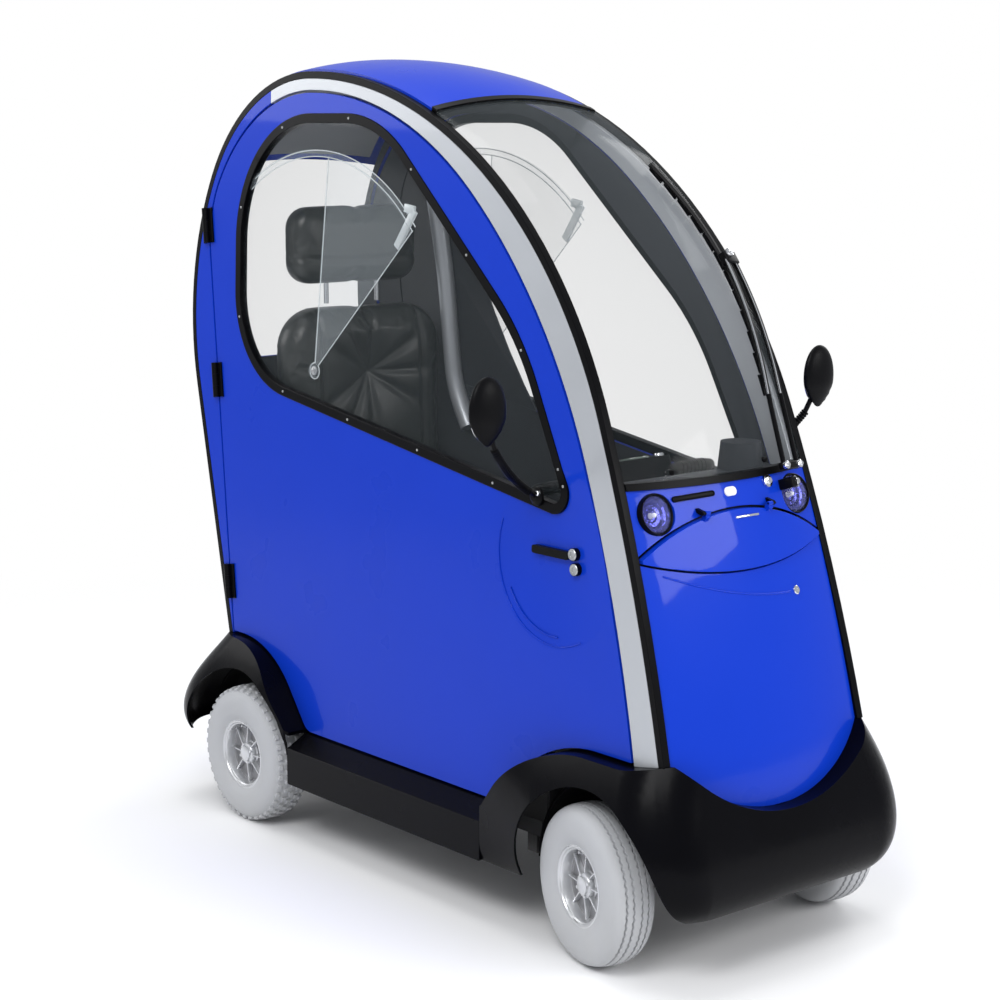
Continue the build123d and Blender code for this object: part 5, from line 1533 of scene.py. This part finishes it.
# the blind's outline and the rail's route beside the seat, in the side view
BLIND_OUTLINE = (
    (0.715, 1.040), (0.715, 1.560), (0.690, 1.640), (0.620, 1.680), (0.540, 1.680), (0.470, 1.560),
    (0.420, 1.430), (0.385, 1.330), (0.330, 1.220), (0.278, 1.130), (0.225, 1.050), (0.180, 0.990),
)
BLIND_THICKNESS = 0.004
BLIND_EDGE = 0.0012
BLIND_STAND = -0.0240
RAIL_ROUTE = ((0.556, 1.620), (0.524, 1.480), (0.492, 1.300), (0.480, 1.120), (0.468, 1.010), (0.420, 0.930))
RAIL_RADIUS = 0.0215
RAIL_STAND = -0.040


class SCOOTER_OT_cabin_trim(bpy.types.Operator):
    """Models the trim inside the doors and the rear, the blind panel by the seat and its rail"""

    bl_idname = "scooter.cabin_trim"
    bl_label = "Cabin trim"

    def execute(self, context):
        stock = colours()
        dark = stock["dark_trim"]
        for side, way in SIDES:
            lined(f"door_trim_{side}", f"door_{side}",
                  lambda place, normal: normal.x * way < -0.6 and abs(place.x) > 0.2, dark, f"door_{side}")
        lined("quarter_trim", "rear_quarters",
              lambda place, normal: normal.x * place.x < 0 and abs(normal.x) > 0.5, dark, "body")
        lined("rear_trim", "rear_wall", lambda place, normal: normal.y < -0.25, dark, "body")
        outline = [side_skin(y, z, 1, BLIND_STAND)[0] for y, z in BLIND_OUTLINE]
        blind = drawn("side_blind", outline, closed=True)
        thickened(blind, BLIND_THICKNESS, -1)
        bevel(blind, BLIND_EDGE, 2)
        finish_piece(blind, dark, "door_left", CRISP)
        route = [side_skin(y, z, 1, RAIL_STAND)[0] for y, z in RAIL_ROUTE]
        rail = rod("side_rail", route, RAIL_RADIUS, 20)
        finish_piece(rail, stock["silver_paint"], "door_left", ROUND)
        return {"FINISHED"}


# name, arcs, forward or back, turn at the last edge in degrees, steps
LINING_HALVES = (("front", FRONT_ARCS, -1, 23, 20), ("rear", REAR_ARCS, 1, 56, 24))
SEAM_WELD = 0.0004
LINING_SMOOTH = 50
VENT_SLOTS = 6
SLOT_SIZE = (0.120, 0.0095, 0.0030)
SLOT_FIRST_TURN = 12.5
SLOT_TURN_PITCH = 1.05
SLOT_EDGE = 0.0011
SLOT_ACROSS = Vector((0.045, 0, 0))
SLOT_STAND = crown_at(0.05) - 0.0155


class SCOOTER_OT_lining(bpy.types.Operator):
    """Models the grey roof lining and its vent slots"""

    bl_idname = "scooter.lining"
    bl_label = "Roof lining"

    def execute(self, context):
        stock = colours()
        lining = joined("roof_lining", [hooped_sheet(*half) for half in LINING_HALVES])
        edit(lining)
        leave(SEAM_WELD, outward=True)
        thickened(lining, LINING_THICKNESS, 0)
        finish_piece(lining, stock["grey_lining"], "body", LINING_SMOOTH)
        slots = []
        for index in range(VENT_SLOTS):
            at, out = arc_place(FRONT_ARCS, -1, SLOT_FIRST_TURN + SLOT_TURN_PITCH * index)
            bar = block("bar", SLOT_SIZE)
            bevel(bar, SLOT_EDGE, 2)
            slots.append(place(bar, at + out * SLOT_STAND + SLOT_ACROSS, aim(-out)))
        slots = joined("roof_vent_slots", slots)
        finish_piece(slots, stock["dark_trim"], "body", CRISP)
        return {"FINISHED"}


# Stage

FLOOR_RADIUS = 16
FLOOR_FADE = (1.1, 3.6)
STUDIO_LAMPS = (
    # name, place, target, width, height, power in watts
    ("key_lamp", (-3.6, -2.2, 4.6), (0, 0, 0.8), 2.6, 2.0, 150),
    ("front_lamp", (0.8, -5.0, 2.6), (0, -0.3, 0.8), 2.2, 2.2, 70),
    ("side_lamp", (4.5, 0.5, 3.4), (0, 0, 0.9), 3.0, 2.0, 60),
    ("top_lamp", (0, 0.8, 5.0), (0, 0.2, 0.8), 3.0, 3.0, 90),
    ("rear_lamp", (-2.5, 4.6, 2.8), (0, 0.4, 0.9), 2.4, 2.0, 60),
    ("nose_card", (1.85, -3.95, 2.28), (-0.15, -0.75, 0.95), 2.0, 0.8, 38),
)
CAMERA_SPOT = Vector((-3.164, -3.774, 1.679))
CAMERA_TARGET = Vector((0.457, 0.569, 0.700))
LENS = 79.2
SENSOR = 36


class SCOOTER_OT_stage(bpy.types.Operator):
    """Adds the pale floor, the soft studio lamps and the camera"""

    bl_idname = "scooter.stage"
    bl_label = "Floor, lamps and camera"

    def execute(self, context):
        let_go()
        floor = begin("floor", "circle", vertices=96, radius=FLOOR_RADIUS, fill_type="NGON",
                      location=(0, 0, 0))
        floor.data.materials.append(floor_finish())
        white_world(context.scene)
        for name, spot, target, width, height, power in STUDIO_LAMPS:
            let_go()
            bpy.ops.object.light_add(type="AREA", location=spot)
            lamp = context.object
            lamp.name = name
            lamp.data.shape = "RECTANGLE"
            lamp.data.size = width
            lamp.data.size_y = height
            lamp.data.energy = power
            lamp.visible_glossy = name != "front_lamp"
            lamp.rotation_euler = (Vector(target) - Vector(spot)).to_track_quat("-Z", "Y").to_euler()
        let_go()
        bpy.ops.object.camera_add(location=CAMERA_SPOT)
        camera = context.object
        camera.name = "camera"
        camera.rotation_euler = (CAMERA_TARGET - CAMERA_SPOT).to_track_quat("-Z", "Y").to_euler()
        camera.data.lens = LENS
        camera.data.sensor_width = SENSOR
        camera.data.clip_end = 100
        context.scene.camera = camera
        context.scene.view_settings.view_transform = "Standard"
        return {"FINISHED"}


def floor_finish():
    """Pale matt floor that fades to plain white far from the scooter for the camera."""
    material = bpy.data.materials.new("pale_floor")
    material.use_nodes = True
    tree = material.node_tree
    shader = tree.nodes["Principled BSDF"]
    shader.inputs["Base Color"].default_value = (0.90, 0.90, 0.91, 1)
    shader.inputs["Roughness"].default_value = 0.55
    shader.inputs["Specular IOR Level"].default_value = 0.2
    near, far = FLOOR_FADE
    coords = add_node(tree, "TexCoord")
    away = add_node(tree, "VectorMath", operation="LENGTH")
    fade = add_node(tree, "MapRange", {"From Min": near, "From Max": far}, interpolation_type="SMOOTHSTEP")
    path = add_node(tree, "LightPath")
    seen = add_node(tree, "Math", operation="MULTIPLY")
    glow = add_node(tree, "Emission", {"Color": (1, 1, 1, 1)})
    mix = add_node(tree, "MixShader")
    wire(
        tree, (coords.outputs["Object"], away.inputs[0]), (away.outputs["Value"], fade.inputs["Value"]),
        (fade.outputs["Result"], seen.inputs[0]), (path.outputs["Is Camera Ray"], seen.inputs[1]),
        (seen.outputs[0], mix.inputs[0]), (shader.outputs[0], mix.inputs[1]),
        (glow.outputs[0], mix.inputs[2]), (mix.outputs[0], tree.nodes["Material Output"].inputs["Surface"]),
    )
    return material


def white_world(scene):
    """White to the camera, and a softer even light on the scooter."""
    world = bpy.data.worlds.new("studio")
    scene.world = world
    world.use_nodes = True
    tree = world.node_tree
    plain = tree.nodes["Background"]
    plain.inputs["Color"].default_value = (0.95, 0.97, 1.0, 1)
    plain.inputs["Strength"].default_value = 0.55
    white = add_node(tree, "Background", {"Color": (1, 1, 1, 1), "Strength": 1.0})
    path = add_node(tree, "LightPath")
    first = add_node(tree, "Math", operation="MAXIMUM")
    mix = add_node(tree, "MixShader")
    wire(
        tree, (path.outputs["Is Camera Ray"], first.inputs[0]),
        (path.outputs["Is Transmission Ray"], first.inputs[1]), (first.outputs[0], mix.inputs[0]),
        (plain.outputs[0], mix.inputs[1]), (white.outputs[0], mix.inputs[2]),
        (mix.outputs[0], tree.nodes["World Output"].inputs["Surface"]),
    )


class SCOOTER_PT_panel(bpy.types.Panel):
    """Lists the steps that dress the scooter"""

    bl_idname = "SCOOTER_PT_panel"
    bl_label = "Mobility scooter"
    bl_space_type = "VIEW_3D"
    bl_region_type = "UI"
    bl_category = "Scooter"

    def draw(self, context):
        look = context.scene.scooter_look
        for setting in ("body_color", "frame_color", "tyre_color", "edge_radius", "tread_depth", "rib_count"):
            self.layout.prop(look, setting)
        for step in STEPS:
            self.layout.operator(step.bl_idname)


STEPS = (
    SCOOTER_OT_panels, SCOOTER_OT_wheels, SCOOTER_OT_lamps, SCOOTER_OT_mirrors, SCOOTER_OT_wiper,
    SCOOTER_OT_front_trim, SCOOTER_OT_door_trim, SCOOTER_OT_seat, SCOOTER_OT_controls, SCOOTER_OT_cabin_trim,
    SCOOTER_OT_lining, SCOOTER_OT_stage,
)
CLASSES = (ScooterLook, *STEPS, SCOOTER_PT_panel)


def register():
    """Adds the classes and the scene's settings."""
    for kind in CLASSES:
        bpy.utils.register_class(kind)
    bpy.types.Scene.scooter_look = bpy.props.PointerProperty(type=ScooterLook)


def unregister():
    """Takes the classes and the settings out again."""
    del bpy.types.Scene.scooter_look
    for kind in reversed(CLASSES):
        bpy.utils.unregister_class(kind)


def main():
    """Dresses the scooter step by step."""
    register()
    for step in STEPS:
        group, name = step.bl_idname.split(".")
        getattr(getattr(bpy.ops, group), name)()


if __name__ == "__main__":
    main()
